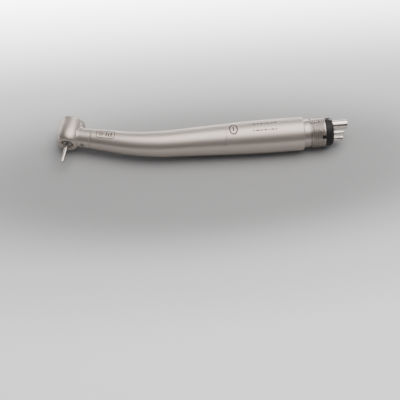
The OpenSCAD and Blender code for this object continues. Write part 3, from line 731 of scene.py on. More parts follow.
LINE_STEEL = MetalFinish(
    "drawn_line_steel", (0.62, 0.61, 0.6), (0.54, 0.53, 0.52), 0.24, grain=Grain.FRAME, length=0.008
)
GENERATOR_ALLOY = MetalFinish(
    "generator_alloy_finish", (0.5, 0.5, 0.52), (0.42, 0.42, 0.44), 0.4, grain=Grain.FRAME, spacing=0.00015
)
MANIFOLD_ALLOY = MetalFinish(
    "manifold_alloy_finish", (0.6, 0.6, 0.61), (0.5, 0.5, 0.51), 0.36, grain=Grain.FRAME, spacing=0.00013
)
MAGNET_PLATE = MetalFinish(
    "magnet_plate_finish", (0.42, 0.42, 0.44), (0.34, 0.34, 0.36), 0.22, grain=Grain.FRAME, smudge=0.12
)
INSERT_RUBBER = MouldedFinish("insert_black", (0.02, 0.02, 0.021), (0.012, 0.012, 0.013), 0.5, specular=0.25)
# Black rubber of the seals, also used as painted shade for the spray holes.
RUBBER_AND_HOLE_SHADE = MouldedFinish("seal_rubber_and_hole_shade", (0.03, 0.03, 0.03), (0.018, 0.018, 0.018), 0.55, size=0.0002)
CAGE_RESIN = MouldedFinish("cage_resin_finish", (0.42, 0.24, 0.1), (0.3, 0.16, 0.06), 0.45, size=0.00015)
BALL_CERAMIC = MouldedFinish(
    "ball_ceramic_finish", (0.86, 0.86, 0.84), (0.78, 0.78, 0.77), 0.1, size=0.0004, coat=0.5
)
WIRE_RED = MouldedFinish("wire_red_finish", (0.5, 0.03, 0.025), (0.36, 0.02, 0.02), 0.38, size=0.0006)
WIRE_BLACK = MouldedFinish("wire_black_finish", (0.03, 0.03, 0.03), (0.02, 0.02, 0.02), 0.38, size=0.0006)
LAMP_PACKAGE = MouldedFinish(
    "lamp_package_finish", (0.9, 0.78, 0.28), (0.8, 0.62, 0.16), 0.3, size=0.0002, coat=0.4
)
MARK_DARK = MouldedFinish(
    "laser_mark_finish", (0.13, 0.095, 0.072), (0.075, 0.055, 0.042), 0.7, size=0.00015,
    depth=0.000002, specular=0.2
)


class Dresser:
    """Makes each finish's material once and gives it to pieces and CAD nodes."""

    def __init__(self) -> None:
        """Builds the shared effects."""
        self.effects = Effects()
        self.made: dict = {}

    def material(self, finish) -> bpy.types.Material:
        """The material of a finish, built when it is first asked for.

        Args:
            finish: one of the finishes.

        Returns:
            Its material.
        """
        if finish.name not in self.made:
            self.made[finish.name] = finish.material(self.effects)
        return self.made[finish.name]

    def dress(self, target: bpy.types.Object, finish) -> bpy.types.Object:
        """Gives a piece one finish all over.

        Args:
            target: the piece.
            finish: the finish.

        Returns:
            The piece.
        """
        target.data.materials.clear()
        target.data.materials.append(self.material(finish))
        return target


def settle(
    piece: bpy.types.Object, body: str, replaced: Sequence[str] = ()
) -> bpy.types.Object:
    """Ties a new piece to the frame.

    Args:
        piece: the piece.
        body: the CAD body that it moves with.
        replaced: the CAD nodes that it stands for.

    Returns:
        The piece.
    """
    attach(piece, body)
    if replaced:
        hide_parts(*replaced)
    return piece


# ---------- head ----------


@dataclass
class TurbineHead:
    """Head housing with its neck and lamp seat, cap, button and test blank, in head-frame millimetres."""

    dresser: Dresser
    barrel_r: float = 6.025
    face_z: float = -5.4
    curve_h: float = 6.4
    face_r: float = 3.55
    seam_z: float = 6.05
    top_z: float = 7.9
    crown: float = 1.35
    flat_r: float = 5.8
    flat_rise: float = 0.5
    button_r: float = 3.55
    nose_r: float = 3.2
    hole_r: float = 2.45
    fillet: float = 0.85
    seam_cut: float = 0.11
    spring_low: float = 5.352
    spring_high: float = 6.575
    spring_r: float = 3.7
    spring_taper: float = 1.3
    spring_turns: float = 2.5
    wire_r: float = 0.12
    button_travel: float = 0.7
    bur_r: float = 0.8
    bur_end: float = 3.8
    bur_len: float = 19.0
    cone_start: float = 5.0
    lens_x: float = 7.2
    lens_r: float = 1.2
    lens_lean: float = math.radians(25)
    lens_sunk: float = 0.2
    lens_gap: float = 0.03
    seat_depth: float = 1.4

    def barrel_radius(self, z: np.ndarray) -> np.ndarray:
        """Radius of the barrel at a height: straight above, a quarter ellipse towards the face below.

        Args:
            z: heights along the head axis.

        Returns:
            The radius at each height.
        """
        low = self.face_z + self.curve_h
        depth = np.clip((low - z) / self.curve_h, 0, 1)
        return self.face_r + (self.barrel_r - self.face_r) * np.sqrt(1 - depth**2)

    def barrel_profile(self) -> Profile:
        """Closed wall of the barrel: outer side, the face with its recess, and the turbine chamber."""
        low = self.face_z + self.curve_h
        curve = arc_corners((self.face_r, low), (self.barrel_r - self.face_r, self.curve_h), -88, 0, 34)
        return rounded(
            [
                (self.hole_r, self.face_z + 0.75, 0.1),
                (self.nose_r, self.face_z, 0.12),
                *curve,
                (self.barrel_r, self.seam_z, self.seam_cut),
                (self.barrel_r - 0.7, self.seam_z - 0.02, 0.0),
                (self.barrel_r - 0.75, self.seam_z - 2.0, 0.0),
                (4.9, 2.0, 0.0),
                (4.9, -2.0, 0.0),
                (3.9, -2.1, 0.0),
                (3.9, self.face_z + 1.1, 0.0),
                (self.hole_r, self.face_z + 1.1, 0.0),
            ]
        )

    def neck_line(self, angle: np.ndarray, steps: int = 12) -> tuple:
        """Outer line of the neck for each angle round it: a quadratic curve that leaves the barrel along
        its tangent and meets the cone of the neck, then the cone up to the seam.

        Args:
            angle: angles round the neck axis from the button's side.
            steps: points on the curve.

        Returns:
            Arrays of the distance along the neck and the radius round it, one row per point.
        """
        skin0 = PATH.skin(np.array(self.cone_start))

        def wall(radius: np.ndarray) -> np.ndarray:
            """Distance along the neck at which a tube of this radius meets the barrel."""
            z, y = radius * np.cos(angle), radius * np.sin(angle)
            return np.sqrt(np.maximum(self.barrel_radius(z) ** 2 - y**2, 0.01))

        small = 0.01
        junction = wall(skin0 + 0 * angle)
        slope = (wall(skin0 + small + 0 * angle) - junction) / small
        back, out = slope / np.hypot(slope, 1), 1 / np.hypot(slope, 1)
        turn = np.arccos(np.clip(-back, -1, 1))
        reach = self.fillet * np.tan(turn / 2)
        end_r = skin0 + reach * out
        end_x = wall(end_r)
        end_slope = (wall(end_r + small) - end_x) / small
        knee_x = end_x - end_slope * (end_r - skin0)
        start_x = knee_x + reach
        s = np.linspace(0, 1, steps)[:, None]
        x = (1 - s) ** 2 * end_x + 2 * s * (1 - s) * knee_x + s**2 * start_x
        radius = (1 - s) ** 2 * end_r + (2 * s * (1 - s) + s**2) * PATH.skin(self.cone_start + 0 * knee_x)
        blend = np.clip((x - knee_x) / np.maximum(reach, 1e-6), 0, 1)
        radius = radius + (PATH.skin(x) - skin0) * blend
        return x, radius

    def neck_points(self, x: np.ndarray, radius: np.ndarray, angle: np.ndarray) -> np.ndarray:
        """Points round the neck, with the angle running from the button's side to -Z.

        Args:
            x: distances along the neck.
            radius: distances from its axis.
            angle: angles round it.

        Returns:
            The points.
        """
        return HEAD.place(radius * np.cos(angle), x, radius * np.sin(angle))

    def lens_frame(self) -> AxisFrame:
        """Frame of the lamp window: on the neck's skin, looking out of the neck and towards the bur's tip."""
        at = np.array(self.lens_x)
        foot = HEAD.place(-PATH.skin(at), at, np.array(0.0))
        axis = -math.cos(self.lens_lean) * HEAD.axis - math.sin(self.lens_lean) * HEAD.zero
        zero = math.cos(self.lens_lean) * HEAD.zero - math.sin(self.lens_lean) * HEAD.axis
        return AxisFrame(foot, axis, zero)

    def neck_shell(self) -> Shell:
        """Neck with its fillet and a round seat for the lamp window.

        The outer side is a grid of angle and distance. A window of the grid round the lamp is left
        out and filled by rings that go from the window's edge to the rim of the seat, where the
        lamp's cylinder meets the cone, and from there down into a blind pocket.
        """
        count = 144
        angle = np.linspace(0, 2 * np.pi, count, endpoint=False)
        fillet_x, fillet_r = self.neck_line(angle)
        first, last = self.lens_x - 1.75, self.lens_x + 1.75
        window_rows = 15
        beyond = np.linspace(last, PATH.neck_len - 0.15, 8)[1:]
        stations = np.concatenate([np.linspace(first, last, window_rows), beyond])
        cone_x = stations[:, None] + 0 * angle
        end = PATH.neck_len
        rim_r = float(PATH.skin(np.array(end)))
        tail_x = [end - 0.14, end - 0.07, end - 0.01, end, end, end, 5.4, 5.4]
        tail_r = [rim_r, rim_r - 0.03, rim_r - 0.13, rim_r - 0.3, rim_r - 0.6, 2.95, 2.95, 3.6]
        tail_x, tail_r = (np.array(row)[:, None] + 0 * angle for row in (tail_x, tail_r))
        under_x, under_r = fillet_x[:1] - 0.12, fillet_r[:1] - 0.05
        x = np.concatenate([under_x, fillet_x, cone_x, tail_x])
        radius = np.concatenate([under_r, fillet_r, PATH.skin(cone_x), tail_r])
        rows = len(x)
        grid = self.neck_points(x, radius, angle[None] + 0 * x)
        wear = np.zeros(rows)
        wear[-8:-5] = 1.0
        shell = grid_shell(grid, True, True, wear, 2 * np.pi * PATH.neck_r)
        row0 = 1 + len(fillet_x)
        row1 = row0 + window_rows - 1
        half = 15
        middle = count // 2
        column0, column1 = middle - half, middle + half
        row_of, column_of = shell.quads[:, 0] // count, shell.quads[:, 0] % count
        inside = (row_of >= row0) & (row_of < row1) & (column_of >= column0) & (column_of < column1)
        shell.quads, shell.uvs = shell.quads[~inside], shell.uvs[~inside]
        return shell + self.lens_seat(stations[:window_rows], angle[column0 : column1 + 1])

    def lens_seat(self, stations: np.ndarray, angles: np.ndarray) -> Shell:
        """Rings between the left-out window's edge and the rim of the lamp seat, and the pocket behind.

        The rim is where the lamp's cylinder meets the cone of the neck. Each of its points starts in
        the plane of the window and moves along the lamp's axis by its distance from the cone, until
        it lies on the cone. The rings between go evenly from the edge to the rim.

        Args:
            stations: distances along the neck of the window's rows.
            angles: angles round the neck of the window's columns.

        Returns:
            The rings as one shell that closes the window.
        """
        low = np.stack([stations, 0 * stations + angles[0]], 1)
        high = np.stack([stations, 0 * stations + angles[-1]], 1)
        near = np.stack([0 * angles + stations[0], angles], 1)
        far = np.stack([0 * angles + stations[-1], angles], 1)
        edge = np.concatenate([near[:-1], high[:-1], far[:0:-1], low[:0:-1]])
        lean_in, lean_on = math.sin(self.lens_lean), math.cos(self.lens_lean)
        turn = np.arctan2((edge[:, 1] - np.pi) * PATH.neck_r, (edge[:, 0] - self.lens_x) * lean_on)
        rim_r = self.lens_r + self.lens_gap
        along, across = rim_r * np.cos(turn), rim_r * np.sin(turn)
        foot = float(PATH.skin(np.array(self.lens_x)))
        depth = 0 * turn
        for _ in range(8):
            x = self.lens_x + along * lean_on - depth * lean_in
            z = -foot - along * lean_in - depth * lean_on
            depth = depth - (np.hypot(z, across) - PATH.skin(x))
        rim = np.stack([x, np.arctan2(-across, z) % (2 * np.pi)], 1)
        share = np.linspace(0, 1, 7)[:, None, None]
        between = edge * (1 - share) + rim * share
        rings = self.neck_points(between[..., 0], PATH.skin(between[..., 0]), between[..., 1])
        grid = np.concatenate([rings, self.seat_rings(rings[-1])])
        wear = np.zeros(len(grid))
        wear[6] = 1.0
        return grid_shell(grid, False, True, wear, 2 * np.pi * self.lens_r)

    def seat_rings(self, rim: np.ndarray) -> np.ndarray:
        """Rings that lead from the rim of the lamp seat down its wall and in over its level floor.

        Args:
            rim: points of the rim.

        Returns:
            Four rings, each the rim drawn in towards the lamp's axis by a share at its own depth.
        """
        stand = self.lens_frame()
        along = (rim - stand.origin) @ stand.axis
        spoke = rim - along[:, None] * stand.axis - stand.origin
        floor = np.full_like(along, -self.seat_depth)
        steps = ((0.97, along - 0.05), (0.97, floor), (0.6, floor), (0.0, floor))
        rings = [stand.origin + spoke * share + depth[:, None] * stand.axis for share, depth in steps]
        return np.stack(rings)

    def spray_holes(self) -> Shell:
        """Four small dark mouths of the water spray on the face, as shallow cups beside the recess, dressed black
        as painted shade that stands in for the open holes.
        """
        line = [(0.0, -0.02, 0.0), (0.2, -0.02, 0.0), (0.24, -0.06, 0.0), (0.2, 0.3, 0.0), (0.0, 0.3, 0.0)]
        cup = rounded(line, False)
        reach = (self.hole_r + self.nose_r) / 2 + 0.15
        height = np.array(self.face_z + 0.18)
        shells = []
        for k in range(4):
            a = math.pi / 4 + k * math.pi / 2
            foot = HEAD.place(height, np.array(reach * math.cos(a)), np.array(reach * math.sin(a)))
            shells.append(turned(cup, AxisFrame(foot, HEAD.axis, HEAD.zero), 20))
        return shells[0] + shells[1] + shells[2] + shells[3]

    def cap_shell(self) -> Shell:
        """Cap: a turned wall whose radius, above its rim, is limited to eight spanner flats. A flat's
        radius is its distance from the axis divided by the cosine of the angle from its middle."""
        corner = (self.barrel_r - self.crown, self.top_z - self.crown)
        rim_z = self.seam_z + self.flat_rise
        profile = rounded(
            [
                (self.barrel_r - 0.75, self.seam_z + 0.02, 0.0),
                (self.barrel_r, self.seam_z, self.seam_cut * 0.8),
                (self.barrel_r, rim_z, 0.0),
                (self.barrel_r, rim_z + 0.03, 0.0),
                *arc_corners(corner, (self.crown, self.crown), 0, 90, 18),
                (self.button_r + 0.04, self.top_z, 0.12),
                (self.button_r + 0.04, self.top_z - 0.85, 0.0),
                (self.barrel_r - 1.0, self.top_z - 0.9, 0.0),
                (self.barrel_r - 1.05, self.seam_z - 0.6, 0.0),
                (self.barrel_r - 0.8, self.seam_z - 0.6, 0.0),
            ]
        )
        angle = np.linspace(0, 2 * np.pi, 256, endpoint=False)
        sector = np.pi / 4
        flat = self.flat_r / np.cos(angle % sector - sector / 2)
        radius, height = profile.points[:, :1] + 0 * angle, profile.points[:, 1:] + 0 * angle
        radius = np.where(height > rim_z + 0.01, np.minimum(radius, flat), radius)
        grid = HEAD.place(height, radius * np.cos(angle), radius * np.sin(angle))
        return grid_shell(grid, True, True, profile.wear, 2 * np.pi * self.barrel_r)

    def button_shell(self) -> Shell:
        """Button: a low dome with a rounded edge on a short skirt."""
        edge, foot = self.top_z - 0.1, self.top_z - 1.3
        dome = [(self.button_r * k / 12, edge + 0.35 * (1 - (k / 12) ** 2), 0.0) for k in range(0, 12)]
        line = [*dome, (self.button_r, edge, 0.2), (self.button_r, foot, 0.0), (0.0, foot, 0.0)]
        return turned(rounded(line, False), HEAD, 96)

    def spring_shell(self) -> Shell:
        """Conical spring under the button: a round wire carried along a helix that narrows upwards.
        Each end of the wire closes in a point at the middle of its ring."""
        run = np.linspace(0, 1, 91)[:, None]
        turn = 2 * np.pi * self.spring_turns * run
        around = np.linspace(0, 2 * np.pi, 12, endpoint=False)
        low, high = self.spring_low + self.wire_r, self.spring_high - self.wire_r
        reach = self.spring_r - self.spring_taper * run + self.wire_r * np.cos(around)
        height = low + (high - low) * run + self.wire_r * np.sin(around)
        rings = HEAD.place(height, reach * np.cos(turn), reach * np.sin(turn))
        first, last = (np.broadcast_to(ring.mean(0), ring.shape)[None] for ring in (rings[0], rings[-1]))
        grid = np.concatenate([first, rings, last])
        return grid_shell(grid, False, True, None, 2 * np.pi * self.wire_r)

    def bur_shell(self) -> Shell:
        """Test blank: a plain rod with a chamfer at each end."""
        r, top = self.bur_r, self.bur_end
        tip = top - self.bur_len
        line = [(0.0, tip, 0.0), (r, tip, 0.15), (r, top, 0.15), (0.0, top, 0.0)]
        return turned(rounded(line, False), HEAD, 48)

    def lens_shell(self) -> Shell:
        """Lamp window: a low dome of glass."""
        stand = self.lens_frame()
        top = -self.lens_sunk
        dome = [(self.lens_r * k / 8, top - 0.2 * (k / 8) ** 2, 0.0) for k in range(0, 8)]
        line = [*dome, (self.lens_r, top - 0.2, 0.05), (self.lens_r, top - 0.8, 0.0), (0.0, top - 0.8, 0.0)]
        return turned(rounded(line, False), stand, 48)

    def build(self) -> None:
        """Makes and dresses every visible piece of the head."""
        housing = make_object("head_shell", turned(self.barrel_profile(), HEAD, 160) + self.neck_shell())
        settle(self.dresser.dress(housing, BODY_STEEL), "housing", ["head_housing"])
        holes = make_object("spray_mouths", self.spray_holes())
        # The black finish on these cups is painted shade for the open spray holes.
        settle(self.dresser.dress(holes, RUBBER_AND_HOLE_SHADE), "housing")
        cap = make_object("cap_shell", self.cap_shell())
        settle(self.dresser.dress(cap, BODY_STEEL), "housing", ["head_cap"])
        button = make_object("button_cap", self.button_shell())
        settle(self.dresser.dress(button, BUTTON_STEEL), "button", ["push_button"])
        spring = make_object("spring_coil", self.spring_shell())
        settle(self.dresser.dress(spring, BEARING_STEEL), "housing", ["button_spring"])
        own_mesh(spring)
        bur = make_object("blank_rod", self.bur_shell())
        settle(self.dresser.dress(bur, TUBE_STEEL), "bur", ["test_bur"])
        lens = make_object("lamp_glass", self.lens_shell())
        settle(self.dresser.dress(lens, LensFinish()), "housing", ["light_window"])


# ---------- body ----------


@dataclass
class GripBody:
    """Bent front body and rear sleeve, in millimetres."""

    dresser: Dresser
    sleeve_end: float = -3.45
    sleeve_r: float = 7.88
    swell: float = 26.5
    bore_r: float = 6.25

    def front_shell(self) -> Shell:
        """Bent body: a ring carried along the centre line, out along the skin and back along the bore."""
        t0, t1 = PATH.neck_len, PATH.seam_t
        skin0, skin1 = float(PATH.skin(np.array(t0))), float(PATH.skin(np.array(t1)))
        ts = np.linspace(t0 + 0.2, t1 - 0.15, 90)
        start_t = [t0, t0, t0 + 0.01, t0 + 0.07, t0 + 0.14]
        start_r = [skin0 - 0.6, skin0 - 0.3, skin0 - 0.13, skin0 - 0.03, skin0]
        end_t, end_r = [t1 - 0.07, t1 - 0.01, t1, t1], [skin1 - 0.005, skin1 - 0.06, skin1 - 0.2, 6.3]
        inner_t = np.linspace(t1 - 4.6, t0 + 3.2, 20)
        inner_r = np.interp(inner_t, [t0, 22.8, 24, t1 - 5, t1 - 4.7, t1], [3.7, 3.8, 3.85, 5.4, 6.3, 6.3])
        t = np.concatenate([start_t, ts, end_t, [t1 - 4.55], inner_t, [t0 + 3.0]])
        r = np.concatenate([start_r, PATH.skin(ts), end_r, [6.3], inner_r, [skin0 - 0.62]])
        wear = np.zeros(len(t))
        wear[1:5] = 1.0
        wear[len(start_t) + len(ts) : len(start_t) + len(ts) + 3] = 0.5
        angle = np.linspace(0, 2 * np.pi, 160, endpoint=False)
        grid = PATH.place(t[:, None] + 0 * angle, r[:, None] + 0 * angle, angle[None] + 0 * t[:, None])
        return grid_shell(grid, True, True, wear, 2 * np.pi * PATH.grip_r)

    def sleeve_shell(self) -> Shell:
        """Rear sleeve: it widens along a parabola, runs straight and ends in a rounded edge."""
        start = PATH.seam_x
        grown = [
            (PATH.grip_r + (self.sleeve_r - PATH.grip_r) * (1 - (1 - u) ** 2), start + self.swell * u, 0.0)
            for u in np.linspace(0.03, 1, 30)
        ]
        profile = rounded(
            [
                (self.bore_r, start, 0.0),
                (PATH.grip_r, start, 0.1),
                *grown,
                (self.sleeve_r, self.sleeve_end - 1.5, 0.0),
                (self.sleeve_r, self.sleeve_end, 0.55),
                (self.bore_r + 0.25, self.sleeve_end, 0.1),
                (self.bore_r, self.sleeve_end - 0.3, 0.0),
            ],
            steps=7,
        )
        return turned(profile, GRIP, 160)

    def build(self) -> None:
        """Makes and dresses the body and the sleeve."""
        front = make_object("front_shell", self.front_shell())
        settle(self.dresser.dress(front, BODY_STEEL), "housing", ["front_body"])
        sleeve = make_object("sleeve_shell", self.sleeve_shell())
        settle(self.dresser.dress(sleeve, BODY_STEEL), "housing", ["rear_sleeve"])


@dataclass
class LaserMarks:
    """Plain etched signs on the body's upper side: an outlined lamp sign, a ring and two lines of dashes."""

    dresser: Dresser
    lift: float = 0.012
    sunk: float = 0.03

    def skin_radius(self, t: np.ndarray) -> np.ndarray:
        """Skin of the front body, and of the rear sleeve past its seam.

        Args:
            t: distances along the centre line.

        Returns:
            The radius at each distance.
        """
        u = np.clip((t - PATH.seam_t) / GripBody.swell, 0, 1)
        sleeve = PATH.grip_r + (GripBody.sleeve_r - PATH.grip_r) * (1 - (1 - u) ** 2)
        return np.where(t < PATH.seam_t, PATH.skin(t), sleeve)

    def stroke(self, line: np.ndarray, width: float, closed: bool = False) -> Shell:
        """A thin raised ribbon on the skin, of four points carried along a line.

        Args:
            line: points as (distance along the body, distance round it from the top), in millimetres.
            width: width of the ribbon.
            closed: whether the line returns to its start.

        Returns:
            The ribbon, closed all round.
        """
        ahead, behind = np.roll(line, -1, 0), np.roll(line, 1, 0)
        if not closed:
            ahead[-1], behind[0] = line[-1], line[0]
        run = ahead - behind
        run = run / np.linalg.norm(run, axis=1)[:, None]
        across = np.stack([-run[:, 1], run[:, 0]], 1) * width / 2
        flat = np.stack([line - across, line + across, line + across, line - across], 1)
        height = np.array([self.lift, self.lift, -self.sunk, -self.sunk])[None] + 0 * flat[..., 0]
        radius = self.skin_radius(flat[..., 0])
        angle = np.pi / 2 - flat[..., 1] / radius
        grid = PATH.place(flat[..., 0], radius + height, angle)
        shell = grid_shell(grid, closed, True, None, 1.0)
        if not closed:
            n = len(line)
            caps = np.array([[0, 1, 2, 3], [4 * n - 1, 4 * n - 2, 4 * n - 3, 4 * n - 4]])
            shell.quads = np.concatenate([shell.quads, caps])
            shell.uvs = np.concatenate([shell.uvs, np.zeros((2, 4, 2))])
        return shell

    def straight(self, a: tuple, b: tuple, width: float) -> Shell:
        """A straight stroke in short steps, so that it follows the curve of the skin."""
        return self.stroke(np.linspace(a, b, 8), width)

    def ellipse(self, centre: tuple, radii: tuple, width: float, square: float = 1.0) -> Shell:
        """A closed stroke round a centre: cosine and sine, each raised to a power, at even steps of length.

        Args:
            centre: (distance along the body, distance round it).
            radii: half its length along the body and half its width round it.
            width: width of the stroke.
            square: the power, which squares the outline as it falls below 1.

        Returns:
            The stroke.
        """
        a = np.linspace(0, 2 * np.pi, 2001)
        c, s = np.cos(a), np.sin(a)
        fine = np.stack([np.sign(c) * np.abs(c) ** square, np.sign(s) * np.abs(s) ** square], 1) * radii
        run = np.concatenate([[0.0], np.cumsum(np.linalg.norm(np.diff(fine, axis=0), axis=1))])
        even = np.linspace(0, run[-1], 96, endpoint=False)
        line = np.stack([np.interp(even, run, fine[:, 0]), np.interp(even, run, fine[:, 1])], 1)
        return self.stroke(line + centre, width, True)

    def lamp_sign(self) -> Shell:
        """A squared outline with a lamp and its rays, and three bars beside it."""
        middle = PATH.neck_len + 6.8
        sign = self.ellipse((middle, 0.0), (4.2, 2.0), 0.34, 0.35)
        sign = sign + self.ellipse((middle - 2.1, 0.0), (0.62, 0.62), 0.42)
        for k in range(6):
            a = k * math.pi / 3
            inner, outer = 0.95, 1.35
            sign = sign + self.straight(
                (middle - 2.1 + inner * math.cos(a), inner * math.sin(a)),
                (middle - 2.1 + outer * math.cos(a), outer * math.sin(a)),
                0.34,
            )
        for k in range(3):
            x = middle + 0.4 + 1.15 * k
            sign = sign + self.straight((x, -1.15), (x, 1.15 - 0.5 * (k % 2)), 0.62)
        return sign

    def ring_sign(self) -> Shell:
        """A broad ring with a bar through it, just behind the sleeve's seam."""
        at = (PATH.seam_t + 3.65, 0.0)
        sign = self.ellipse(at, (1.75, 2.6), 0.62)
        return sign + self.straight((at[0], -1.3), (at[0], 1.3), 0.55)

    def dash_lines(self) -> Shell:
        """Two lines of dashes of plain, uneven lengths along the sleeve."""
        gap = 0.62
        dashes: Optional[Shell] = None
        rows = ((1.9, (1.5, 0.8, 1.1, 0.5, 1.6, 0.9, 1.2)), (-1.9, (0.7, 1.7, 0.9, 1.3, 0.6, 1.4, 0.8)))
        for side, lengths in rows:
            at = PATH.seam_t + 12.6
            for length in lengths:
                made = self.straight((at, side), (at + length, side), gap)
                dashes = made if dashes is None else dashes + made
                at += length + gap
        return dashes

    def build(self) -> None:
        """Makes and dresses the three groups of marks."""
        for name, shell in (
            ("mark_lamp", self.lamp_sign()),
            ("mark_ring", self.ring_sign()),
            ("mark_dashes", self.dash_lines()),
        ):
            settle(self.dresser.dress(make_object(name, shell), MARK_DARK), "housing")


# ---------- hose connector ----------


@dataclass
class HoseConnector:
    """Joint ring, threaded collar, black insert and the four tubes, in millimetres."""

    dresser: Dresser
    thread_r: float = 6.95
    depth: float = 0.3
    pitch: float = 0.8
    collar_len: float = 6.5
    bore_r: float = 5.62
    insert_r: float = 6.55
    insert_x: float = 10.4
    bevel: float = 1.1
    key_turn: float = math.radians(148)
    key_w: float = 1.68
    key_len: float = 1.75
    tube_wall: float = 0.4
    tubes: tuple = (("exhaust_tube", 96), ("drive_air_tube", 72), ("water_tube", 56), ("chip_air_tube", 56))

    def ring_shell(self) -> Shell:
        """Plain ring between sleeve and thread."""
        return turned(
            rounded(
                [
                    (self.bore_r, -5.0, 0.0),
                    (6.22, -5.0, 0.0),
                    (6.22, -3.5, 0.0),
                    (6.55, -3.5, 0.0),
                    (6.65, -0.5, 0.12),
                    (6.3, -0.22, 0.05),
                    (6.3, 0.0, 0.0),
                    (self.bore_r, 0.0, 0.0),
                ]
            ),
            GRIP,
            128,
        )

    def collar_shell(self) -> Shell:
        """Threaded collar. Outside, the radius follows a rounded zigzag of the distance along X less
        the share of a turn times the pitch, which makes one helix. The zigzag fades in after the
        undercut and out before the plain end. In the key slot the radius drops to the slot's floor.
        """
        half = self.key_w / 2 / self.thread_r
        edge = 0.004
        even = np.linspace(0, 2 * np.pi, 200, endpoint=False)
        even = even[np.abs(even - self.key_turn) > half + 0.02]
        side = np.array([half / 2, half, half + edge])
        slot_angles = self.key_turn + np.concatenate([-side[::-1], [0.0], side])
        angle = np.sort(np.concatenate([even, slot_angles]))
        slot_x = self.collar_len - self.key_len
        steps = [0.02, slot_x - 0.02, slot_x, self.collar_len - 0.03]
        x = np.unique(np.round(np.concatenate([np.linspace(0.0, self.collar_len, 150), steps]), 4))
        turn = x[:, None] / self.pitch - angle[None] / (2 * np.pi)
        tooth = np.clip(1.35 * (1 - np.abs(2 * (turn % 1.0) - 1) * 1.25), 0, 1)
        fade = np.clip((x - 0.45) / 0.4, 0, 1) * np.clip((6.1 - x) / 0.4, 0, 1)
        root = self.thread_r - self.depth
        radius = root + self.depth * tooth * fade[:, None]
        radius[x > 6.05] = self.thread_r
        radius[x < 0.3] = root - 0.35
        radius[x > self.collar_len - 0.025] -= 0.08
        radius[x < 0.01] -= 0.06
        in_slot = (x[:, None] >= slot_x) & (np.abs(angle[None] - self.key_turn) <= half + 1e-6)
        radius[in_slot] = self.bore_r + 0.1
        grid = GRIP.place(x[:, None] + 0 * angle, radius * np.cos(angle), radius * np.sin(angle))
        ends = [
            GRIP.place(np.full_like(angle, at), self.bore_r * np.cos(angle), self.bore_r * np.sin(angle))
            for at in (self.collar_len, 0.0)
        ]
        # Wear per point: above 0 on the thread's crests, which are worn; below 0 in its roots and in the undercut,
        # where it paints shade.
        crest_wear_and_root_shade = fade[:, None] * (1.2 * tooth - 0.5)
        crest_wear_and_root_shade[x < 0.3] = -0.6
        wear = np.concatenate([crest_wear_and_root_shade, np.zeros((2, len(angle)))])
        return grid_shell(np.concatenate([grid, np.stack(ends)]), True, True, wear, 2 * np.pi * self.thread_r)

    def insert_shell(self) -> Shell:
        """Black insert: a bevelled disc, and its key, a small block curved with the collar."""
        disc = turned(
            rounded(
                [
                    (0.0, 5.5, 0.0),
                    (self.bore_r - 0.05, 5.5, 0.0),
                    (self.bore_r - 0.05, self.collar_len + 0.01, 0.0),
                    (self.insert_r, self.collar_len + 0.01, 0.06),
                    (self.insert_r, self.insert_x - self.bevel, 0.25),
                    (self.insert_r - 0.8 * self.bevel, self.insert_x, 0.2),
                    (0.0, self.insert_x, 0.0),
                ],
                False,
            ),
            GRIP,
            128,
        )
        half = self.key_w / 2 / self.thread_r - 0.003
        along = np.array([0.0, 0.0, 0.04, 0.12, 1.0, 2.2, 2.2]) + self.collar_len - self.key_len + 0.03
        top = np.array([5.8, 6.5, 6.6, 6.65, 6.65, 6.6, 5.8])
        turn = self.key_turn + half * np.array([-1.0, -1.0, -0.9, -0.5, 0, 0.5, 0.9, 1.0, 1.0])
        drop = np.array([0.0, 0.93, 1, 1, 1, 1, 1, 0.93, 0.0])
        radius = 5.8 + (top[:, None] - 5.8) * drop[None]
        grid = GRIP.place(along[:, None] + 0 * turn, radius * np.cos(turn), radius * np.sin(turn))
        return disc + grid_shell(grid, False, True, None, 1.0)

    def tube_shell(self, mount: dict, segments: int) -> Shell:
        """One tube on its mount's axis, open at its end, with rounded lips.

        Args:
            mount: the record's mount of the tube.
            segments: steps round the tube.

        Returns:
            The tube.
        """
        centre, r = np.array(mount["pos_m"]) / MM, mount["dims"]["r_mm"]
        half = mount["dims"]["length_mm"] / 2
        stand = AxisFrame(np.array([0.0, centre[1], centre[2]]), GRIP.axis, GRIP.zero)
        tip, root, inner = centre[0] + half, centre[0] - half - 1.0, r - self.tube_wall
        line = [(r, root, 0.0), (r, tip, 0.14), (inner, tip, 0.1), (inner, root, 0.0)]
        return turned(rounded(line), stand, segments)

    def build(self) -> None:
        """Makes and dresses the connector."""
        ring = make_object("ring_shell", self.ring_shell())
        settle(self.dresser.dress(ring, COLLAR_STEEL), "housing", ["joint_ring"])
        collar = make_object("collar_shell", self.collar_shell(), math.radians(50))
        settle(self.dresser.dress(collar, COLLAR_STEEL), "housing", ["thread_collar"])
        insert = make_object("insert_block", self.insert_shell())
        settle(self.dresser.dress(insert, INSERT_RUBBER), "housing", ["hose_insert"])
        mounts = {m["name"]: m for m in frame["record"]["mounts"]}
        for name, segments in self.tubes:
            tube = make_object(name + "_shell", self.tube_shell(mounts[name], segments))
            settle(self.dresser.dress(tube, TUBE_STEEL), "housing", [name])


# ---------- pieces carried over ----------

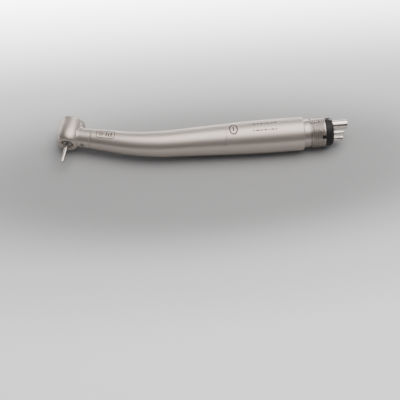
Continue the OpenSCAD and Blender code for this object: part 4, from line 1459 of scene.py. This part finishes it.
SLOT_FINISHES = {
    "body_steel": BODY_STEEL,
    "collar_steel": COLLAR_STEEL,
    "button_steel": BUTTON_STEEL,
    "polished_steel": TUBE_STEEL,
    "bearing_steel": BEARING_STEEL,
    "rotor_steel": ROTOR_STEEL,
    "wheel_alloy": WHEEL_ALLOY,
    "ball_ceramic": BALL_CERAMIC,
    "cage_resin": CAGE_RESIN,
    "ring_rubber": RUBBER_AND_HOLE_SHADE,
    "insert_rubber": INSERT_RUBBER,
    "lens_glass": LensFinish(),
    "lamp_package": LAMP_PACKAGE,
    "inner_brass": INNER_BRASS,
    "line_steel": LINE_STEEL,
    "wire_red": WIRE_RED,
    "wire_black": WIRE_BLACK,
    "generator_alloy": GENERATOR_ALLOY,
    "coil_copper": CoilFinish(),
    "manifold_alloy": MANIFOLD_ALLOY,
    "magnet_plate": MAGNET_PLATE,
}


def dress_carried(dresser: Dresser) -> None:
    """Gives every CAD node the finish of its record slot.

    Args:
        dresser: what gives the finishes.
    """
    for part in frame["record"]["subparts"]:
        node = frame["nodes"][part["node"]]
        dresser.dress(node, SLOT_FINISHES[part["material_slot"]])


# ---------- studio ----------


@dataclass
class Studio:
    """Pale floor, pale backdrop, soft lights and the camera."""

    floor_z: float = -0.00788
    azimuth: float = -5.838
    elevation: float = 56.31
    roll: float = 0.36
    distance: float = 0.47926
    aim: tuple = (-0.053788, -0.022879, -0.014752)
    lens: float = 92.88
    # Strength of the painted glow that the paper gives off further from the handpiece.
    painted_glow_strength: float = 0.3

    def floor_material(self) -> bpy.types.Material:
        """Matt pale paper with a faint fibre, with painted shade that makes it greyer close to the handpiece and a
        painted glow that makes it white further out.
        """
        made, tree, shader = new_material("studio_paper")
        shader.inputs["Specular IOR Level"].default_value = 0.2
        where = put(tree, "ShaderNodeTexCoord").outputs["Object"]
        noise = put(tree, "ShaderNodeTexNoise", Vector=where, Scale=260.0, Detail=4.0)
        moved = put(tree, "ShaderNodeVectorMath", {"operation": "MULTIPLY"}, i0=where, i1=(0.3, 1.0, 0.0))
        centre = (-0.015, -0.012, 0.0)
        away = put(tree, "ShaderNodeVectorMath", {"operation": "DISTANCE"}, i0=moved.outputs[0], i1=centre)
        reach = math_node(tree, "MULTIPLY", away.outputs["Value"], 10.0)
        # Painted shade: the paper's colour is greyer close to the handpiece, where its shadow falls.
        near = ramp(tree, reach, [(0.22, 0.4), (0.56, 0.8), (0.95, 0.96)], ease=True)
        fibre = math_node(tree, "MULTIPLY_ADD", noise.outputs["Fac"], 0.04, 0.98)
        tone = put(tree, "ShaderNodeVectorMath", {"operation": "SCALE"}, i0=near)
        tree.links.new(fibre, tone.inputs["Scale"])
        tint = (0.955, 0.975, 1.0)
        cool = put(tree, "ShaderNodeVectorMath", {"operation": "MULTIPLY"}, i0=tone.outputs[0], i1=tint)
        tree.links.new(cool.outputs[0], shader.inputs["Base Color"])
        shader.inputs["Roughness"].default_value = 0.85
        # Painted glow: further from the handpiece the paper emits light, though it is no lamp.
        tree.links.new(ramp(tree, reach, [(0.3, 0.0), (0.8, 1.0)]), shader.inputs["Emission Color"])
        shader.inputs["Emission Strength"].default_value = self.painted_glow_strength
        return made

    def sheet(self) -> bpy.types.Object:
        """Floor and backdrop as one sheet: a profile in Y and Z, straight, then a quarter circle up, then
        straight, drawn along X."""
        bend = np.radians(np.linspace(0, 90, 24))
        radius = 0.5
        y = np.concatenate([[-2.2, 0.9], 0.9 + radius * np.sin(bend), [0.9 + radius]])
        z = np.concatenate([[0.0, 0.0], radius * (1 - np.cos(bend)), [1.3]]) + self.floor_z
        x = np.linspace(-2.4, 2.4, 3)
        grid = np.stack(np.broadcast_arrays(x[:, None], y[None], z[None]), -1) / MM
        sheet = make_object("studio_sheet", grid_shell(grid))
        sheet.data.materials.append(self.floor_material())
        return sheet

    def light(
        self,
        name: str,
        at: tuple,
        towards: tuple,
        size: tuple,
        power: float,
        colour: tuple,
        spread: float = 180,
    ) -> bpy.types.Object:
        """One rectangular soft light.

        Args:
            name: its name.
            at: its place.
            towards: the point that it looks at.
            size: its two sides.
            power: its watts.
            colour: its colour.
            spread: its spread in degrees.

        Returns:
            The light.
        """
        lamp = bpy.data.lights.new(name, "AREA")
        lamp.shape, lamp.size, lamp.size_y = "RECTANGLE", *size
        lamp.energy, lamp.color, lamp.spread = power, colour, math.radians(spread)
        made = bpy.data.objects.new(name, lamp)
        bpy.context.scene.collection.objects.link(made)
        made.location = at
        made.rotation_euler = (Vector(towards) - Vector(at)).to_track_quat("-Z", "Y").to_euler()
        return made

    def camera(self) -> None:
        """Sets the camera by azimuth, elevation, roll and its distance from the point that it aims at."""
        a, e, r = (math.radians(v) for v in (self.azimuth, self.elevation, self.roll))
        back = Vector((math.sin(a) * math.cos(e), -math.cos(a) * math.cos(e), math.sin(e)))
        right = Vector((math.cos(a), math.sin(a), 0.0))
        up = back.cross(right)
        right, up = right * math.cos(r) + up * math.sin(r), up * math.cos(r) - right * math.sin(r)
        data = bpy.data.cameras.new("camera")
        data.sensor_width, data.lens = 36.0, self.lens
        data.clip_start, data.clip_end = 0.02, 20.0
        made = bpy.data.objects.new("camera", data)
        bpy.context.scene.collection.objects.link(made)
        place = Vector(self.aim) + back * self.distance
        turn = Matrix((right, up, back)).transposed().to_4x4()
        made.matrix_world = Matrix.Translation(place) @ turn
        bpy.context.scene.camera = made

    def build(self) -> None:
        """Sets the whole studio."""
        sheet = self.sheet()
        middle = (-0.05, 0.0, 0.0)
        warm = (1.0, 0.955, 0.915)
        lights = [
            self.light("top_soft", (0.12, 0.09, 0.75), middle, (0.8, 0.86), 9.1, warm),
            self.light("back_wash", (-0.03, 0.26, 0.5), (-0.03, 0.26, 0.0), (0.9, 0.2), 24.0, warm, 30),
        ]
        world = bpy.data.worlds.new("studio_world")
        world.use_nodes = True
        world.node_tree.nodes["Background"].inputs["Color"].default_value = (0.5, 0.5, 0.51, 1)
        world.node_tree.nodes["Background"].inputs["Strength"].default_value = 0.36
        bpy.context.scene.world = world
        self.camera()


def main() -> None:
    """Builds the handpiece's sub-assemblies in order, then the studio."""
    logging.basicConfig(level=logging.INFO, format="%(name)s: %(message)s")
    dresser = Dresser()
    dress_carried(dresser)
    for assembly in (TurbineHead(dresser), GripBody(dresser), LaserMarks(dresser), HoseConnector(dresser)):
        assembly.build()
        LOG.info("%s done", type(assembly).__name__)
    Studio().build()


if __name__ == "__main__":
    main()
